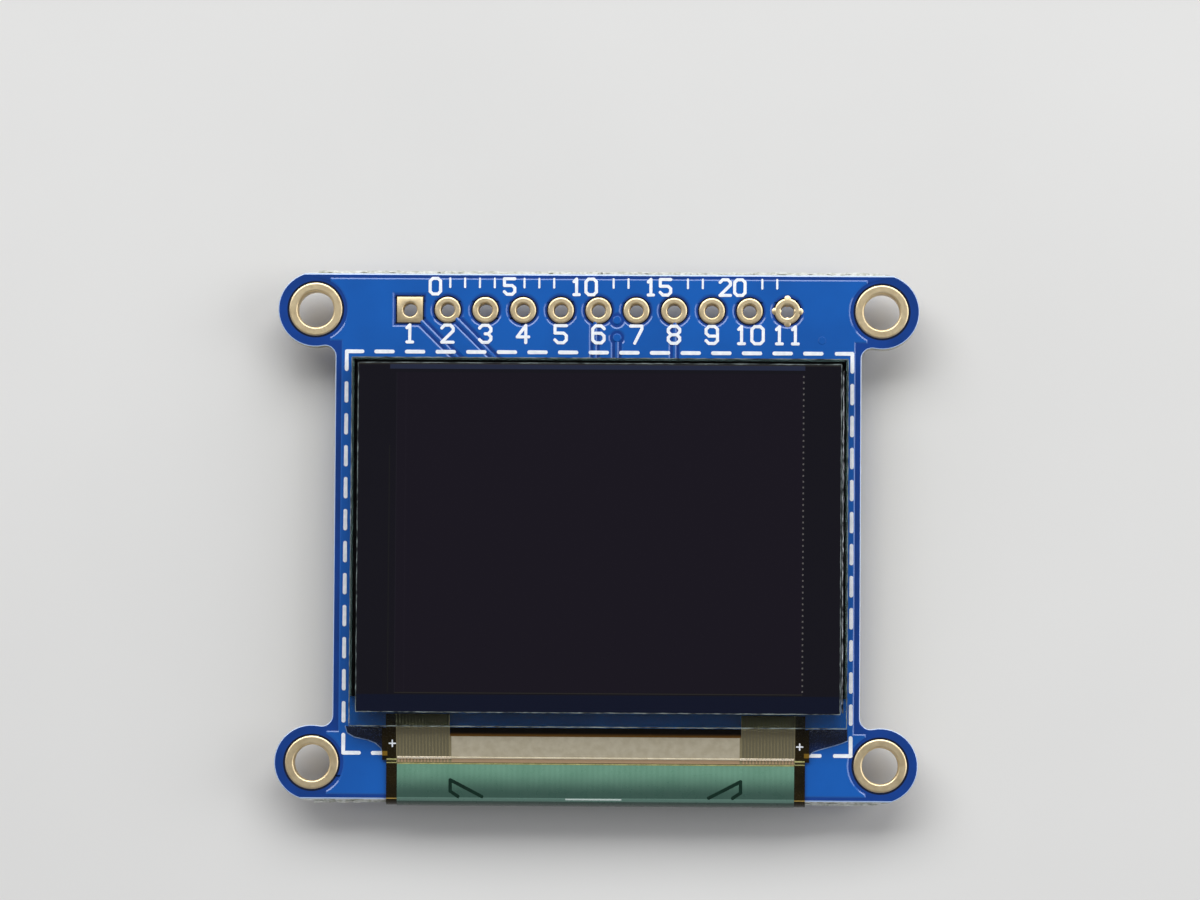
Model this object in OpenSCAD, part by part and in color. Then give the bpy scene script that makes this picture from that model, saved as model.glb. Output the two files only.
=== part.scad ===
// Small OLED display breakout module.
// Millimetres. The origin is the centre of the four mounting holes, on the board's
// rear face. +X runs right, +Y towards the header row and +Z out of the display.

/* [Board] */
// Overall width across the ears
board_w = 43.18; // [43:0.02:44]
// Overall height
board_h = 35.56; // [35.4:0.02:36]
// Thickness
board_t = 1.6; // [1.5:0.1:1.7]
// Width across the waist between the ears
waist_w = 35.4; // [35:0.1:36]
// Radius of the inside corner where an ear meets the waist
waist_fillet_r = 0.7; // [0.5:0.1:0.9]
// Depth of the scored groove on each face of the top and bottom edges
score_depth = 0.5; // [0.3:0.05:0.6]
// Width that the scored groove takes off the face
score_w = 0.13; // [0.05:0.01:0.2]

/* [Plated holes] */
// Distance between mounting hole centres along X
mount_pitch_x = 38.1; // [38:0.05:38.2]
// Distance between mounting hole centres along Y
mount_pitch_y = 30.48; // [30.4:0.04:30.52]
// Bore of a plated mounting hole
mount_bore_d = 2.5; // [2.3:0.05:2.6]
// Outer diameter of a mounting hole's land
mount_land_d = 3.56; // [3.3:0.02:3.8]
// Number of holes in the header row
header_count = 11; // [10:1:12]
// Distance between neighbouring header holes
header_pitch = 2.54; // [2.5:0.01:2.56]
// Bore of a plated header hole
header_bore_d = 1.0; // [0.9:0.02:1.1]
// Outer diameter of a header land
header_land_d = 1.72; // [1.5:0.02:1.9]

/* [Display panel] */
// Width of both glasses
glass_w = 33.3; // [33:0.1:33.4]
// Height of the front glass, with the bare ledge
glass_h = 24.75; // [24.6:0.05:24.9]
// Thickness of the front glass
glass_t = 0.65; // [0.6:0.05:0.7]
// Height of the rear glass
cap_h = 22.9; // [22.7:0.05:23]
// Width of the polarizer
polarizer_w = 32.4; // [32:0.1:32.6]
// Height of the polarizer
polarizer_h = 23.43; // [23.2:0.01:23.6]
// Width of the light-emitting area
emitter_w = 27.24; // [26.5:0.02:27.6]
// Height of the light-emitting area
emitter_h = 21; // [20.6:0.02:21.1]

/* [Flex] */
// Width of the flex over the board's edge
flex_w = 28.05; // [27.8:0.05:28.2]
// Width of the flex's contact end
tail_w = 15.5; // [15.4:0.05:15.55]
// Thickness of the amber film
film_t = 0.05; // [0.04:0.01:0.05]
// Distance that the flex stands out past the board's edge
bend_reach = 0.29; // [0.25:0.01:0.35]
// Length of the driver chip
driver_l = 15.8; // [14:0.2:16]

/* [Flex socket] */
// Number of contacts
socket_ways = 30; // [28:1:30]
// Distance between neighbouring contacts
socket_pitch = 0.5; // [0.48:0.01:0.5]
// Width over the housing
socket_w = 20.6; // [20.4:0.1:21]
// Height above the board
socket_h = 1.9; // [1.9:0.05:2]

/* [Card socket] */
// Length along the card's way in
card_socket_l = 14.8; // [14.6:0.1:15]
// Width over the shell
card_socket_w = 14; // [13.8:0.1:14.2]
// Height above the board
card_socket_h = 1.9; // [1.85:0.05:1.9]
// Thickness of the shell's sheet metal
shell_t = 0.2; // [0.15:0.05:0.2]

/* [Hidden] */
capacitor_count = 8;
resistor_count = 8;

$fn = 64;
eps = 0.01;   // clearance of a part that is seated in another
cut = 1;      // how far a cutter passes beyond what it cuts
arc_step = 7.5; // degrees between stations along a bend of a ribbon

// Board outline
ear_r = board_h / 2 - mount_pitch_y / 2;
fillet_x = waist_w / 2 + waist_fillet_r;
fillet_dx = mount_pitch_x / 2 - fillet_x;
fillet_dy = sqrt(pow(ear_r + waist_fillet_r, 2) - pow(fillet_dx, 2));
fillet_y = mount_pitch_y / 2 - fillet_dy;

// Plated holes
plating_t = 0.04;
land_lip = 0.02;
header_y = mount_pitch_y / 2;
header_x0 = -(header_count - 1) / 2 * header_pitch;
spoke_w = 0.5;
spoke_reach = 1.07;

// Display panel, stacked up from the board's front face
panel_x = 0.15;
panel_top_y = 11.95;
tape_t = 0.25;
cap_t = 0.55;
cap_pocket = 0.3;
cap_wall = 1.1;
seal_t = 0.05;
seal_w = 0.5;
emitter_t = 0.02;
desiccant_t = 0.15;
polarizer_t = 0.2;
polarizer_inset = 0.37;
emitter_inset = 1.05;
cap_z = board_t + tape_t;
seal_z = cap_z + cap_t;
glass_z = seal_z + seal_t;
polarizer_z = glass_z + glass_t;
ledge_y = panel_top_y - glass_h;

// Flex. Its route is measured along the face that looks at the board, from the
// bonded end under the glass ledge, over the front, round the edge and to the back.
copper_t = 0.02;
coverlay_t = 0.04;
bond_l = 0.85;
slope_deg = 16;
slope_r = 1;
front_gap = 0.18;
back_gap = 0.1;
edge_r = 0.5;
flex_start_y = ledge_y + bond_l;
flex_start_z = glass_z - copper_t - film_t;
slope_drop = flex_start_z - board_t - front_gap;
slope_line = (slope_drop - 2 * slope_r * (1 - cos(slope_deg))) / sin(slope_deg);
notch_line = 0.36;
touch_y = ledge_y - 2 * slope_r * sin(slope_deg) - slope_line * cos(slope_deg);
edge_face_y = -board_h / 2 - bend_reach + film_t + coverlay_t;
edge_start_y = edge_face_y + edge_r;
edge_line = board_t + front_gap + back_gap - 2 * edge_r;
chip_zone_y = -15.6;
shoulder_y = -11.9;
rise_start_y = -11;
rise_deg = 30;
rise_r = 0.8;
tail_h = 0.85;
rise = tail_h - back_gap;
rise_line = (rise - 2 * rise_r * (1 - cos(rise_deg))) / sin(rise_deg);
rise_run = 2 * rise_r * sin(rise_deg) + rise_line * cos(rise_deg);
tail_y0 = rise_start_y + rise_run;
coverlay_start = 0.08;
tongue_x = 9.75;
trace_x = 13.2;
trace_pitch = 0.22;
trace_w = 0.12;
trace_count = 16;
driver_w = 1.6;
driver_t = 0.4;
driver_y = -14.1;

// Flex socket. Its own frame has Y from the mouth inwards, and Z away from the board.
socket_mouth_y = -7.4;
socket_d = 4;
roof_front = 2;
floor_h = 0.6;
mouth_h = 1;
latch_space_x = 9.05;
tail_end = 3.2;
latch_pivot_y = 1.45;
latch_pivot_h = 1.44;
latch_r = 0.42;
pivot_pin_r = 0.28;
contact_t = 0.2;
contact_slot = 0.22;

// Card socket. Its own frame has X from the rear to the mouth.
card_socket_x = 2.6;
card_socket_y = 5.8;
card_w = 11.2;
base_floor = 0.45;
card_contact_count = 8;
card_contact_pitch = 1.1;
card_contact_w = 0.5;
card_contact_t = 0.15;
base_back = 0.5;
shell_r = 0.4;

// Chip parts: [x, y, turn, length, width, height]
capacitor_places = [
    [-15.2, 11.2, 90, 2, 1.25, 1.25],
    [-8.4, 11, 90, 2, 1.25, 1.25],
    [-14.4, 3.2, 0, 2, 1.25, 1.25],
    [-14.4, 1, 0, 2, 1.25, 1.25],
    [-5.6, 3.6, 90, 1.6, 0.8, 0.8],
    [-14.2, -5, 90, 2, 1.25, 1.25],
    [12.9, -5, 90, 2, 1.25, 1.25],
    [15, -5, 90, 1.6, 0.8, 0.8]];
resistor_places = [
    [-1.2, -0.8, 0, 1.6, 0.8, 0.45],
    [-1.2, 0.7, 0, 1.6, 0.8, 0.45],
    [-1.2, 2.2, 0, 1.6, 0.8, 0.45],
    [-1.2, 3.7, 0, 1.6, 0.8, 0.45],
    [-9.6, 0.4, 0, 1.6, 0.8, 0.45],
    [-9.6, -1, 0, 1.6, 0.8, 0.45],
    [-16.1, -5, 90, 1.6, 0.8, 0.45],
    [-2.6, 12.4, 0, 1.6, 0.8, 0.45]];

// ---------------------------------------------------------------- helpers

// Places children on the board's rear face, with their +Z away from the board.
module on_back(x = 0, y = 0, turn = 0) {
    translate([x, y, 0]) rotate([0, 0, turn]) mirror([0, 0, 1]) children();
}

// A block centred in X and Y that stands on z.
module block(size, at = [0, 0, 0]) {
    translate([at.x - size.x / 2, at.y - size.y / 2, at.z]) cube(size);
}

// A route in the XY plane is a list of steps, ["line", length] or ["bend", radius,
// angle], where a positive angle turns left. A station on it is [x, y, heading].
function left(heading) = [-sin(heading), cos(heading)];

function step_end(step, at) =
    step[0] == "line"
        ? [at.x + step[1] * cos(at.z), at.y + step[1] * sin(at.z), at.z]
        : let (r = step[2] > 0 ? step[1] : -step[1],
               heading = at.z + step[2],
               end = [at.x, at.y] + r * left(at.z) - r * left(heading))
          [end.x, end.y, heading];

function route_at(route, count, i = 0, at = [0, 0, 0]) =
    i == count ? at : route_at(route, count, i + 1, step_end(route[i], at));

function step_stations(step, at) =
    step[0] == "line"
        ? [at]
        : let (count = max(2, ceil(abs(step[2]) / arc_step)))
          [for (k = [0:count - 1]) step_end(["bend", step[1], step[2] * k / count], at)];

function stations(route, first, last) =
    [for (i = [first:last]) each step_stations(route[i], route_at(route, i)),
     route_at(route, last + 1)];

// A strip of width w along Z that follows a route, or some of its steps. Its
// thickness t starts `off` to the left of the route.
module ribbon(route, w, t, off = 0, first = 0, last = -1) {
    line = stations(route, first, last < 0 ? len(route) - 1 : last);
    linear_extrude(w, center = true)
        polygon([for (s = line) [s.x, s.y] + off * left(s.z),
                 for (i = [len(line) - 1:-1:0])
                     [line[i].x, line[i].y] + (off + t) * left(line[i].z)]);
}

// A rectangle with four rounded corners, centred.
module rounded_rect(size, r) {
    union() {
        square([size.x - 2 * r, size.y], center = true);
        square([size.x, size.y - 2 * r], center = true);
        for (x = [-1, 1], y = [-1, 1])
            translate([x * (size.x / 2 - r), y * (size.y / 2 - r)]) circle(r);
    }
}

module mounting_holes() {
    for (x = [-1, 1], y = [-1, 1])
        translate([x * mount_pitch_x / 2, y * mount_pitch_y / 2, 0]) children();
}

module header_holes() {
    for (i = [0:header_count - 1])
        translate([header_x0 + i * header_pitch, header_y, 0]) children();
}

// ---------------------------------------------------------------- board

// Fills the inside corner between an ear and the waist, up to the fillet's arc.
module ear_fillet() {
    to_ear = [fillet_dx, fillet_dy] / (ear_r + waist_fillet_r);
    difference() {
        polygon([[fillet_x - waist_fillet_r - cut, fillet_y],
                 [fillet_x, fillet_y],
                 [fillet_x, fillet_y] + to_ear * waist_fillet_r,
                 [mount_pitch_x / 2, header_y],
                 [fillet_x - waist_fillet_r - cut, header_y]]);
        translate([fillet_x, fillet_y]) circle(waist_fillet_r);
    }
}

module board_outline() {
    union() {
        square([waist_w, board_h], center = true);
        for (y = [-1, 1]) scale([1, y]) {
            translate([-mount_pitch_x / 2, header_y]) square([mount_pitch_x, ear_r]);
            for (x = [-1, 1]) {
                translate([x * mount_pitch_x / 2, header_y]) circle(ear_r);
                mirror([x > 0 ? 0 : 1, 0]) ear_fillet();
            }
        }
    }
}

// The bevel that a scored groove leaves along a straight edge.
module score_bevel() {
    rotate([90, 0, 90])
        linear_extrude(board_w + 2 * cut, center = true)
            polygon([[-score_w, 0], [cut, 0], [cut, -score_depth], [0, -score_depth]]);
}

module pcb() {
    barrel_r = mount_bore_d / 2 + plating_t + eps;
    header_barrel_r = header_bore_d / 2 + plating_t + eps;
    color("royalblue") difference() {
        linear_extrude(board_t) board_outline();
        mounting_holes() translate([0, 0, -cut]) cylinder(r = barrel_r, h = board_t + 2 * cut);
        header_holes() translate([0, 0, -cut])
            cylinder(r = header_barrel_r, h = board_t + 2 * cut);
        for (y = [0, 1], z = [0, 1])
            mirror([0, y, 0]) translate([0, 0, board_t / 2]) mirror([0, 0, z])
                translate([0, board_h / 2, board_t / 2]) score_bevel();
    }
}

// A plated hole: a barrel with a land on each face, its rims eased.
module eyelet(bore_r, land_r) {
    rotate_extrude()
        polygon([[bore_r, -plating_t + land_lip], [bore_r + land_lip, -plating_t],
                 [land_r - land_lip, -plating_t], [land_r, -plating_t + land_lip],
                 [land_r, 0], [bore_r + plating_t, 0],
                 [bore_r + plating_t, board_t], [land_r, board_t],
                 [land_r, board_t + plating_t - land_lip],
                 [land_r - land_lip, board_t + plating_t],
                 [bore_r + land_lip, board_t + plating_t],
                 [bore_r, board_t + plating_t - land_lip]]);
}

module mounting_hole_plating() {
    color("navajowhite") mounting_holes() eyelet(mount_bore_d / 2, mount_land_d / 2);
}

// The first hole has a square land, and the last has four spokes to the copper.
module header_hole_plating() {
    color("navajowhite") {
        header_holes() eyelet(header_bore_d / 2, header_land_d / 2);
        for (z = [-plating_t, board_t]) {
            translate([header_x0, header_y, z]) difference() {
                block([header_land_d, header_land_d, plating_t]);
                translate([0, 0, -cut]) cylinder(d = header_bore_d + 0.1, h = 3 * cut);
            }
            for (a = [0:90:270])
                translate([-header_x0, header_y, z]) rotate([0, 0, a])
                    translate([header_land_d / 2 - 0.1, -spoke_w / 2, 0])
                        cube([spoke_reach - header_land_d / 2 + 0.1, spoke_w, plating_t]);
        }
    }
}

// ---------------------------------------------------------------- display panel

// A sheet of the panel whose top edge lies `inset` below the glass's top edge.
module panel_sheet(w, h, t, z, inset = 0) {
    block([w, h, t], [panel_x, panel_top_y - inset - h / 2, z]);
}

module mounting_tape() {
    color("dimgray") panel_sheet(glass_w - 1.4, cap_h - 1.4, tape_t, board_t, 0.7);
}

// The rear glass has a shallow pocket etched into the face that looks at the emitter.
module encapsulation_glass() {
    color("darkslategray") difference() {
        panel_sheet(glass_w, cap_h, cap_t, cap_z);
        panel_sheet(glass_w - 2 * cap_wall, cap_h - 2 * cap_wall, cap_pocket + cut,
                    seal_z - cap_pocket, cap_wall);
    }
}

module desiccant_sheet() {
    color("whitesmoke")
        panel_sheet(emitter_w - 2, emitter_h - 2, desiccant_t, seal_z - cap_pocket,
                    emitter_inset + 1);
}

module edge_seal() {
    color("darkkhaki") difference() {
        panel_sheet(glass_w - 0.3, cap_h - 0.3, seal_t, seal_z, 0.15);
        panel_sheet(glass_w - 0.3 - 2 * seal_w, cap_h - 0.3 - 2 * seal_w, 3 * cut,
                    seal_z - cut, 0.15 + seal_w);
    }
}

module emitter_layer() {
    color("indigo")
        translate([0.03, 0, 0])
            panel_sheet(emitter_w, emitter_h, emitter_t, glass_z - emitter_t, emitter_inset);
}

module display_glass() {
    color([0.25, 0.35, 0.35, 0.5]) panel_sheet(glass_w, glass_h, glass_t, glass_z);
}

module polarizer() {
    color([0.08, 0.07, 0.09])
        panel_sheet(polarizer_w, polarizer_h, polarizer_t, polarizer_z, polarizer_inset);
}

// ---------------------------------------------------------------- flex

// Steps 0 to 4 drop from the glass ledge, 5 and 6 lie on the front, 7 to 9 wrap the
// edge, 10 to 12 lie on the back and 13 to 17 lift into the socket.
flex_route = [
    ["line", bond_l],
    ["bend", slope_r, -slope_deg],
    ["line", notch_line],
    ["line", slope_line - notch_line],
    ["bend", slope_r, slope_deg],
    ["line", coverlay_start],
    ["line", touch_y - coverlay_start - edge_start_y],
    ["bend", edge_r, -90],
    ["line", edge_line],
    ["bend", edge_r, -90],
    ["line", chip_zone_y - edge_start_y],
    ["line", shoulder_y - chip_zone_y],
    ["line", rise_start_y - shoulder_y],
    ["bend", rise_r, rise_deg],
    ["line", rise_line],
    ["bend", rise_r, -rise_deg],
    ["line", socket_mouth_y - 0.4 - tail_y0],
    ["line", tail_end + 0.4]];
notch_step = 3;
touch_step = 4;
coverlay_step = 6;
shoulder_step = 11;
finger_step = 17;

module flex_layer(w, off, t, first, last) {
    translate([0, flex_start_y, flex_start_z])
        rotate([90, 0, -90]) ribbon(flex_route, w, t, off, first, last);
}

// Two tongues reach under the glass, with a notch between them.
module flex_film() {
    notch_y = ledge_y - slope_r * sin(slope_deg) - notch_line * cos(slope_deg);
    color("darkgoldenrod") {
        difference() {
            flex_layer(flex_w, 0, film_t, 0, shoulder_step);
            translate([0, notch_y + 3, 0]) block([2 * tongue_x, 6, 6], [0, 0, board_t]);
        }
        flex_layer(tail_w, 0, film_t, shoulder_step + 1, finger_step);
    }
}

// Bare copper: a wide field between two combs of traces, and the contact fingers.
module flex_copper() {
    finger_w = 0.3;
    color("tan") {
        flex_layer(2 * tongue_x - 0.2, film_t, copper_t, notch_step, touch_step);
        for (x = [-1, 1], i = [0:trace_count - 1])
            translate([x * (trace_x - i * trace_pitch), 0, 0])
                flex_layer(trace_w, film_t, copper_t, 0, touch_step);
        for (i = [0:socket_ways - 1])
            translate([(i - (socket_ways - 1) / 2) * socket_pitch, 0, 0])
                flex_layer(finger_w, film_t, copper_t, finger_step, finger_step);
    }
}

module flex_coverlay() {
    window = [driver_l + 0.8, driver_w + 0.8, 1];
    color("mediumaquamarine") {
        difference() {
            flex_layer(2 * trace_x + 0.2, film_t, coverlay_t, coverlay_step, shoulder_step);
            on_back() block(window, [0, driver_y, back_gap]);
        }
        flex_layer(tail_w - 0.6, film_t, coverlay_t, shoulder_step + 1, finger_step - 1);
    }
}

module driver_chip() {
    color([0.15, 0.15, 0.17])
        on_back() block([driver_l, driver_w, driver_t], [0, driver_y, back_gap + film_t]);
}

module flex_stiffener() {
    back_y = socket_mouth_y + tail_end;
    l = back_y - tail_y0 - 0.2;
    t = tail_h - floor_h - 0.02;
    color("goldenrod")
        on_back() block([tail_w, l, t], [0, back_y - l / 2, tail_h - t]);
}

// ---------------------------------------------------------------- flex socket

module in_flex_socket() {
    on_back(0, socket_mouth_y) children();
}

module each_socket_way() {
    for (i = [0:socket_ways - 1])
        translate([(i - (socket_ways - 1) / 2) * socket_pitch, 0, 0]) children();
}

// The space under the latch is open at the mouth; the end blocks hold its pins.
module flex_socket_housing() {
    color("wheat") in_flex_socket() difference() {
        translate([-socket_w / 2, 0, 0]) cube([socket_w, socket_d, socket_h]);
        translate([-latch_space_x, -cut, mouth_h])
            cube([2 * latch_space_x, cut + roof_front, socket_h]);
        translate([-tail_w / 2 - 0.05, -cut, floor_h])
            cube([tail_w + 0.1, cut + tail_end + 0.1, mouth_h - floor_h]);
        // lead-in chamfer of the mouth
        translate([0, 0, floor_h]) rotate([0, 90, 0])
            linear_extrude(tail_w + 0.1, center = true)
                polygon([[-cut, -cut], [0.15, -cut], [0.15, 0], [0, 0.3], [-cut, 0.3]]);
        // grooves for the latch's pins
        for (x = [-1, 1])
            translate([x * latch_space_x, latch_pivot_y, latch_pivot_h]) {
                rotate([0, 90, 0])
                    cylinder(r = pivot_pin_r + 0.03, h = 1.2, center = true);
                block([1.2, 2 * pivot_pin_r + 0.06, cut]);
            }
        each_socket_way()
            translate([-contact_slot / 2, 0, 0]) {
                translate([0, 0.6, 0.15]) cube([contact_slot, socket_d, socket_h - 0.4]);
                translate([0, 3.35, -cut]) cube([contact_slot, socket_d, cut + socket_h / 2]);
            }
        // steps at the ends of the roof
        for (x = [-1, 1])
            translate([x * (socket_w / 2), socket_d - 0.5, socket_h / 2])
                block([1, cut, socket_h]);
    }
}

// Closed, it lies over the flex. It turns about the pins at its ends.
module flex_socket_latch() {
    tip = [0.06, mouth_h + 0.08];
    top = latch_pivot_h + latch_r;
    length = 2 * latch_space_x - 0.1;
    color([0.12, 0.11, 0.11]) in_flex_socket() difference() {
        union() {
            rotate([90, 0, 90]) linear_extrude(length, center = true) union() {
                translate([latch_pivot_y, latch_pivot_h]) circle(latch_r);
                polygon([[latch_pivot_y, top], [tip.x + 0.3, top], [tip.x, top - 0.3],
                         [tip.x, tip.y + 0.15], [tip.x + 0.15, tip.y],
                         [latch_pivot_y, tip.y]]);
            }
            translate([0, latch_pivot_y, latch_pivot_h]) rotate([0, 90, 0])
                cylinder(r = pivot_pin_r, h = length + 0.8, center = true);
        }
        // comb that clears the upper contact arms
        each_socket_way()
            translate([-0.15, latch_pivot_y + 0.12, 0]) cube([0.3, cut, socket_h + cut]);
        // finger recess along the tip
        translate([0, 0, top]) block([8, 0.7, 0.2], [0, 0.1, -0.1]);
    }
}

// A stamped fork: foot, spine, and an arm above and below the flex.
module socket_contact() {
    rotate([90, 0, 90]) linear_extrude(contact_t, center = true)
        polygon([[socket_d + 0.65, 0], [socket_d + 0.65, 0.15], [socket_d - 0.05, 0.15],
                 [socket_d - 0.2, 0.3], [socket_d - 0.2, 1.6], [2.15, 1.55],
                 [2.1, 1.3], [2.2, tail_h + film_t + copper_t],
                 [2.4, tail_h + film_t + copper_t], [2.5, 1.3], [3.4, 1.35],
                 [3.4, 0.45], [1.2, 0.45], [1.1, 0.6], [0.9, 0.6], [0.8, 0.45],
                 [0.8, 0.25], [3.4, 0.2], [3.7, 0]]);
}

module flex_socket_contacts() {
    color("gold") in_flex_socket() each_socket_way() socket_contact();
}

module flex_socket_anchors() {
    color("silver") in_flex_socket()
        for (x = [0, 1]) mirror([x, 0, 0]) translate([socket_w / 2, 0.9, 0]) {
            cube([0.2, 1.8, 1.2]);
            cube([0.9, 1.8, 0.2]);
        }
}

// ---------------------------------------------------------------- card socket

module in_card_socket() {
    on_back(card_socket_x, card_socket_y) children();
}

// Section across the shell: one sheet folded down at both sides.
module shell_section() {
    w = card_socket_w;
    h = card_socket_h;
    t = shell_t;
    difference() {
        translate([0, h / 2]) intersection() {
            translate([0, -shell_r]) rounded_rect([w, h + 2 * shell_r], shell_r);
            square([w, h], center = true);
        }
        translate([0, h / 2 - t]) intersection() {
            translate([0, -shell_r]) rounded_rect([w - 2 * t, h + 2 * shell_r], shell_r - t);
            square([w - 2 * t, h + 0.02], center = true);
        }
    }
}

// A spring tongue that leans in from the shell's top and presses on the card.
module shell_tongue() {
    tongue_route = [["line", 0.3], ["bend", 1, 8], ["line", 3], ["bend", 0.6, -16],
                    ["line", 0.5]];
    rotate([-90, 0, 0]) ribbon(tongue_route, 1, shell_t);
}

module card_socket_shell() {
    front_cut = 1.2;
    color("silver") in_card_socket() {
        difference() {
            translate([base_back, 0, 0]) rotate([90, 0, 90])
                linear_extrude(card_socket_l - base_back) shell_section();
            // windows round the spring tongues
            for (y = [-3, 3])
                translate([4.4, y, card_socket_h - 0.5]) block([5.6, 1.7, 1], [2.8, 0, 0]);
            // window over the contacts' tips
            translate([8, 0, card_socket_h - 0.5]) block([1.6, 2.6, 1]);
            // thumb cut-out of the mouth's edge
            translate([card_socket_l, 0, card_socket_h - 0.5])
                intersection() {
                    cylinder(r = 4.5, h = 1);
                    block([2 * front_cut, 9, 1]);
                }
            // side walls stop short of the board between the feet
            for (y = [-1, 1]) {
                translate([4.6 + 2.6, y * card_socket_w / 2, -cut]) block([5.2, 2, cut + 0.5]);
                translate([0.4, y * card_socket_w / 2, -cut]) block([1, 2, cut + 1.2]);
            }
        }
        for (y = [-3, 3]) translate([4.4, y, card_socket_h]) shell_tongue();
        // solder feet
        for (y = [0, 1], x = [2.2, 11.4]) mirror([0, y, 0])
            translate([x, card_socket_w / 2 - 0.1, 0]) cube([1.6, 0.8, shell_t]);
    }
}

module each_card_contact() {
    for (i = [0:card_contact_count - 1])
        translate([0, (i - (card_contact_count - 1) / 2) * card_contact_pitch, 0]) children();
}

module card_socket_base() {
    inner_w = card_socket_w - 2 * shell_t;
    rail_w = (inner_w - card_w) / 2;
    inner_h = card_socket_h - shell_t;
    color([0.13, 0.13, 0.14]) in_card_socket() difference() {
        union() {
            translate([base_back, 0, 0])
                block([12.2, inner_w, base_floor], [6.1, 0, 0]);
            // side rails that guide the card, and the stop at its far end
            for (y = [-1, 1])
                translate([base_back, 0, 0])
                    block([12.2, rail_w, inner_h - shell_r], [6.1, y * (inner_w - rail_w) / 2, 0]);
            block([1.3, card_w, inner_h], [base_back + 0.65, 0, 0]);
        }
        // open slots that the contacts lie in
        each_card_contact()
            translate([0, -card_contact_w / 2 - 0.03, -cut]) {
                cube([11, card_contact_w + 0.06, cut + base_floor + eps]);
                cube([base_back + 1.31, card_contact_w + 0.06, cut + 0.6]);
            }
        // lead-in of the mouth
        translate([base_back + 12.2, 0, base_floor]) rotate([90, 0, 0])
            linear_extrude(card_w, center = true)
                polygon([[-0.6, 0], [cut, 0], [cut, -0.3], [0, -0.2]]);
        // notch of the detect spring
        translate([3.4, inner_w / 2 - 0.2 - 0.7, base_floor]) block([4.2, 1.4, cut]);
    }
}

// Each contact: foot behind the base, floor run, sprung arm and rounded tip.
module card_socket_contacts() {
    contact_route = [["line", 0.9], ["bend", 0.2, 30], ["line", 0.1], ["bend", 0.2, -30],
                     ["line", 3.2], ["bend", 1.5, 10], ["line", 3.8], ["bend", 0.35, -60],
                     ["line", 0.45]];
    color("gold") in_card_socket() each_card_contact()
        translate([-0.75, 0, 0]) rotate([90, 0, 0])
            ribbon(contact_route, card_contact_w, card_contact_t);
}

// A leaf spring beside the card that closes a switch when a card is in.
module card_detect_spring() {
    leaf_route = [["line", 0.7], ["bend", 0.3, -12], ["line", 2.2], ["bend", 0.3, 12],
                  ["line", 0.5]];
    inner_w = card_socket_w - 2 * shell_t;
    color("gold") in_card_socket()
        translate([1.4, inner_w / 2 - 0.3, base_floor + 0.35]) ribbon(leaf_route, 0.7, 0.1);
}

// ---------------------------------------------------------------- chips

// Moulded body with drafted sides that meet at the leads' height.
module moulded_body(l, w, h, draft = 0.12) {
    foot = 0.1;
    mid = foot + (h - foot) / 2;
    intersection() {
        rotate([90, 0, 0]) linear_extrude(2 * w, center = true)
            polygon([[-l / 2 + draft, foot], [l / 2 - draft, foot], [l / 2, mid],
                     [l / 2 - draft, h], [-l / 2 + draft, h], [-l / 2, mid]]);
        rotate([90, 0, 90]) linear_extrude(2 * l, center = true)
            polygon([[-w / 2 + draft, foot], [w / 2 - draft, foot], [w / 2, mid],
                     [w / 2 - draft, h], [-w / 2 + draft, h], [-w / 2, mid]]);
    }
}

// A gull-wing lead that runs along +Y from its foot's tip to the body's side.
module gull_lead(w, run, shoulder_h) {
    t = 0.12;
    tilt = 80;
    r = 0.1;
    shoulder = 0.06;
    bends = 2 * r + t;
    climb = (shoulder_h - t / 2 - bends * (1 - cos(tilt))) / sin(tilt);
    foot = run - shoulder - bends * sin(tilt) - climb * cos(tilt);
    rotate([90, 0, 90])
        ribbon([["line", foot], ["bend", r + t, tilt], ["line", climb],
                ["bend", r, -tilt], ["line", shoulder]], w, t);
}

// Leads along both long sides: their X positions on each side.
module lead_rows(xs_low, xs_high, body_w, run, w, shoulder_h) {
    for (x = xs_low)
        translate([x, -body_w / 2 - run, 0]) gull_lead(w, run, shoulder_h);
    for (x = xs_high)
        mirror([0, 1, 0]) translate([x, -body_w / 2 - run, 0]) gull_lead(w, run, shoulder_h);
}

module pin_one_dimple(x, y, h, r) {
    translate([x, y, h - 0.06]) cylinder(r = r, h = cut);
}

module level_shifter_body() {
    color([0.14, 0.14, 0.15]) on_back(-3.4, 8.1, 90) difference() {
        moulded_body(5, 4.4, 1.05);
        pin_one_dimple(-1.9, -1.6, 1.05, 0.3);
    }
}

module level_shifter_leads() {
    xs = [for (i = [0:7]) (i - 3.5) * 0.65];
    color("silver") on_back(-3.4, 8.1, 90) lead_rows(xs, xs, 4.4, 1, 0.24, 0.575);
}

module sot5_body() {
    difference() {
        moulded_body(2.9, 1.6, 1.1);
        pin_one_dimple(-1, -0.45, 1.1, 0.15);
    }
}

module sot5_leads() {
    lead_rows([-0.95, 0, 0.95], [-0.95, 0.95], 1.6, 0.65, 0.4, 0.6);
}

module boost_chip_body() {
    color([0.14, 0.14, 0.15]) on_back(-9.3, 6.6) sot5_body();
}

module boost_chip_leads() {
    color("silver") on_back(-9.3, 6.6) sot5_leads();
}

module regulator_body() {
    color([0.14, 0.14, 0.15]) on_back(-11.8, 11.2) sot5_body();
}

module regulator_leads() {
    color("silver") on_back(-11.8, 11.2) sot5_leads();
}

module transistor_body() {
    color([0.14, 0.14, 0.15]) on_back(-5, 0.4, 90) moulded_body(2.9, 1.3, 1);
}

module transistor_leads() {
    color("silver") on_back(-5, 0.4, 90)
        lead_rows([-0.95, 0.95], [0], 1.3, 0.55, 0.42, 0.55);
}

module diode_body() {
    color([0.14, 0.14, 0.15]) on_back(-9.6, 2.9) moulded_body(2.7, 1.6, 1.1);
}

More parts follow.
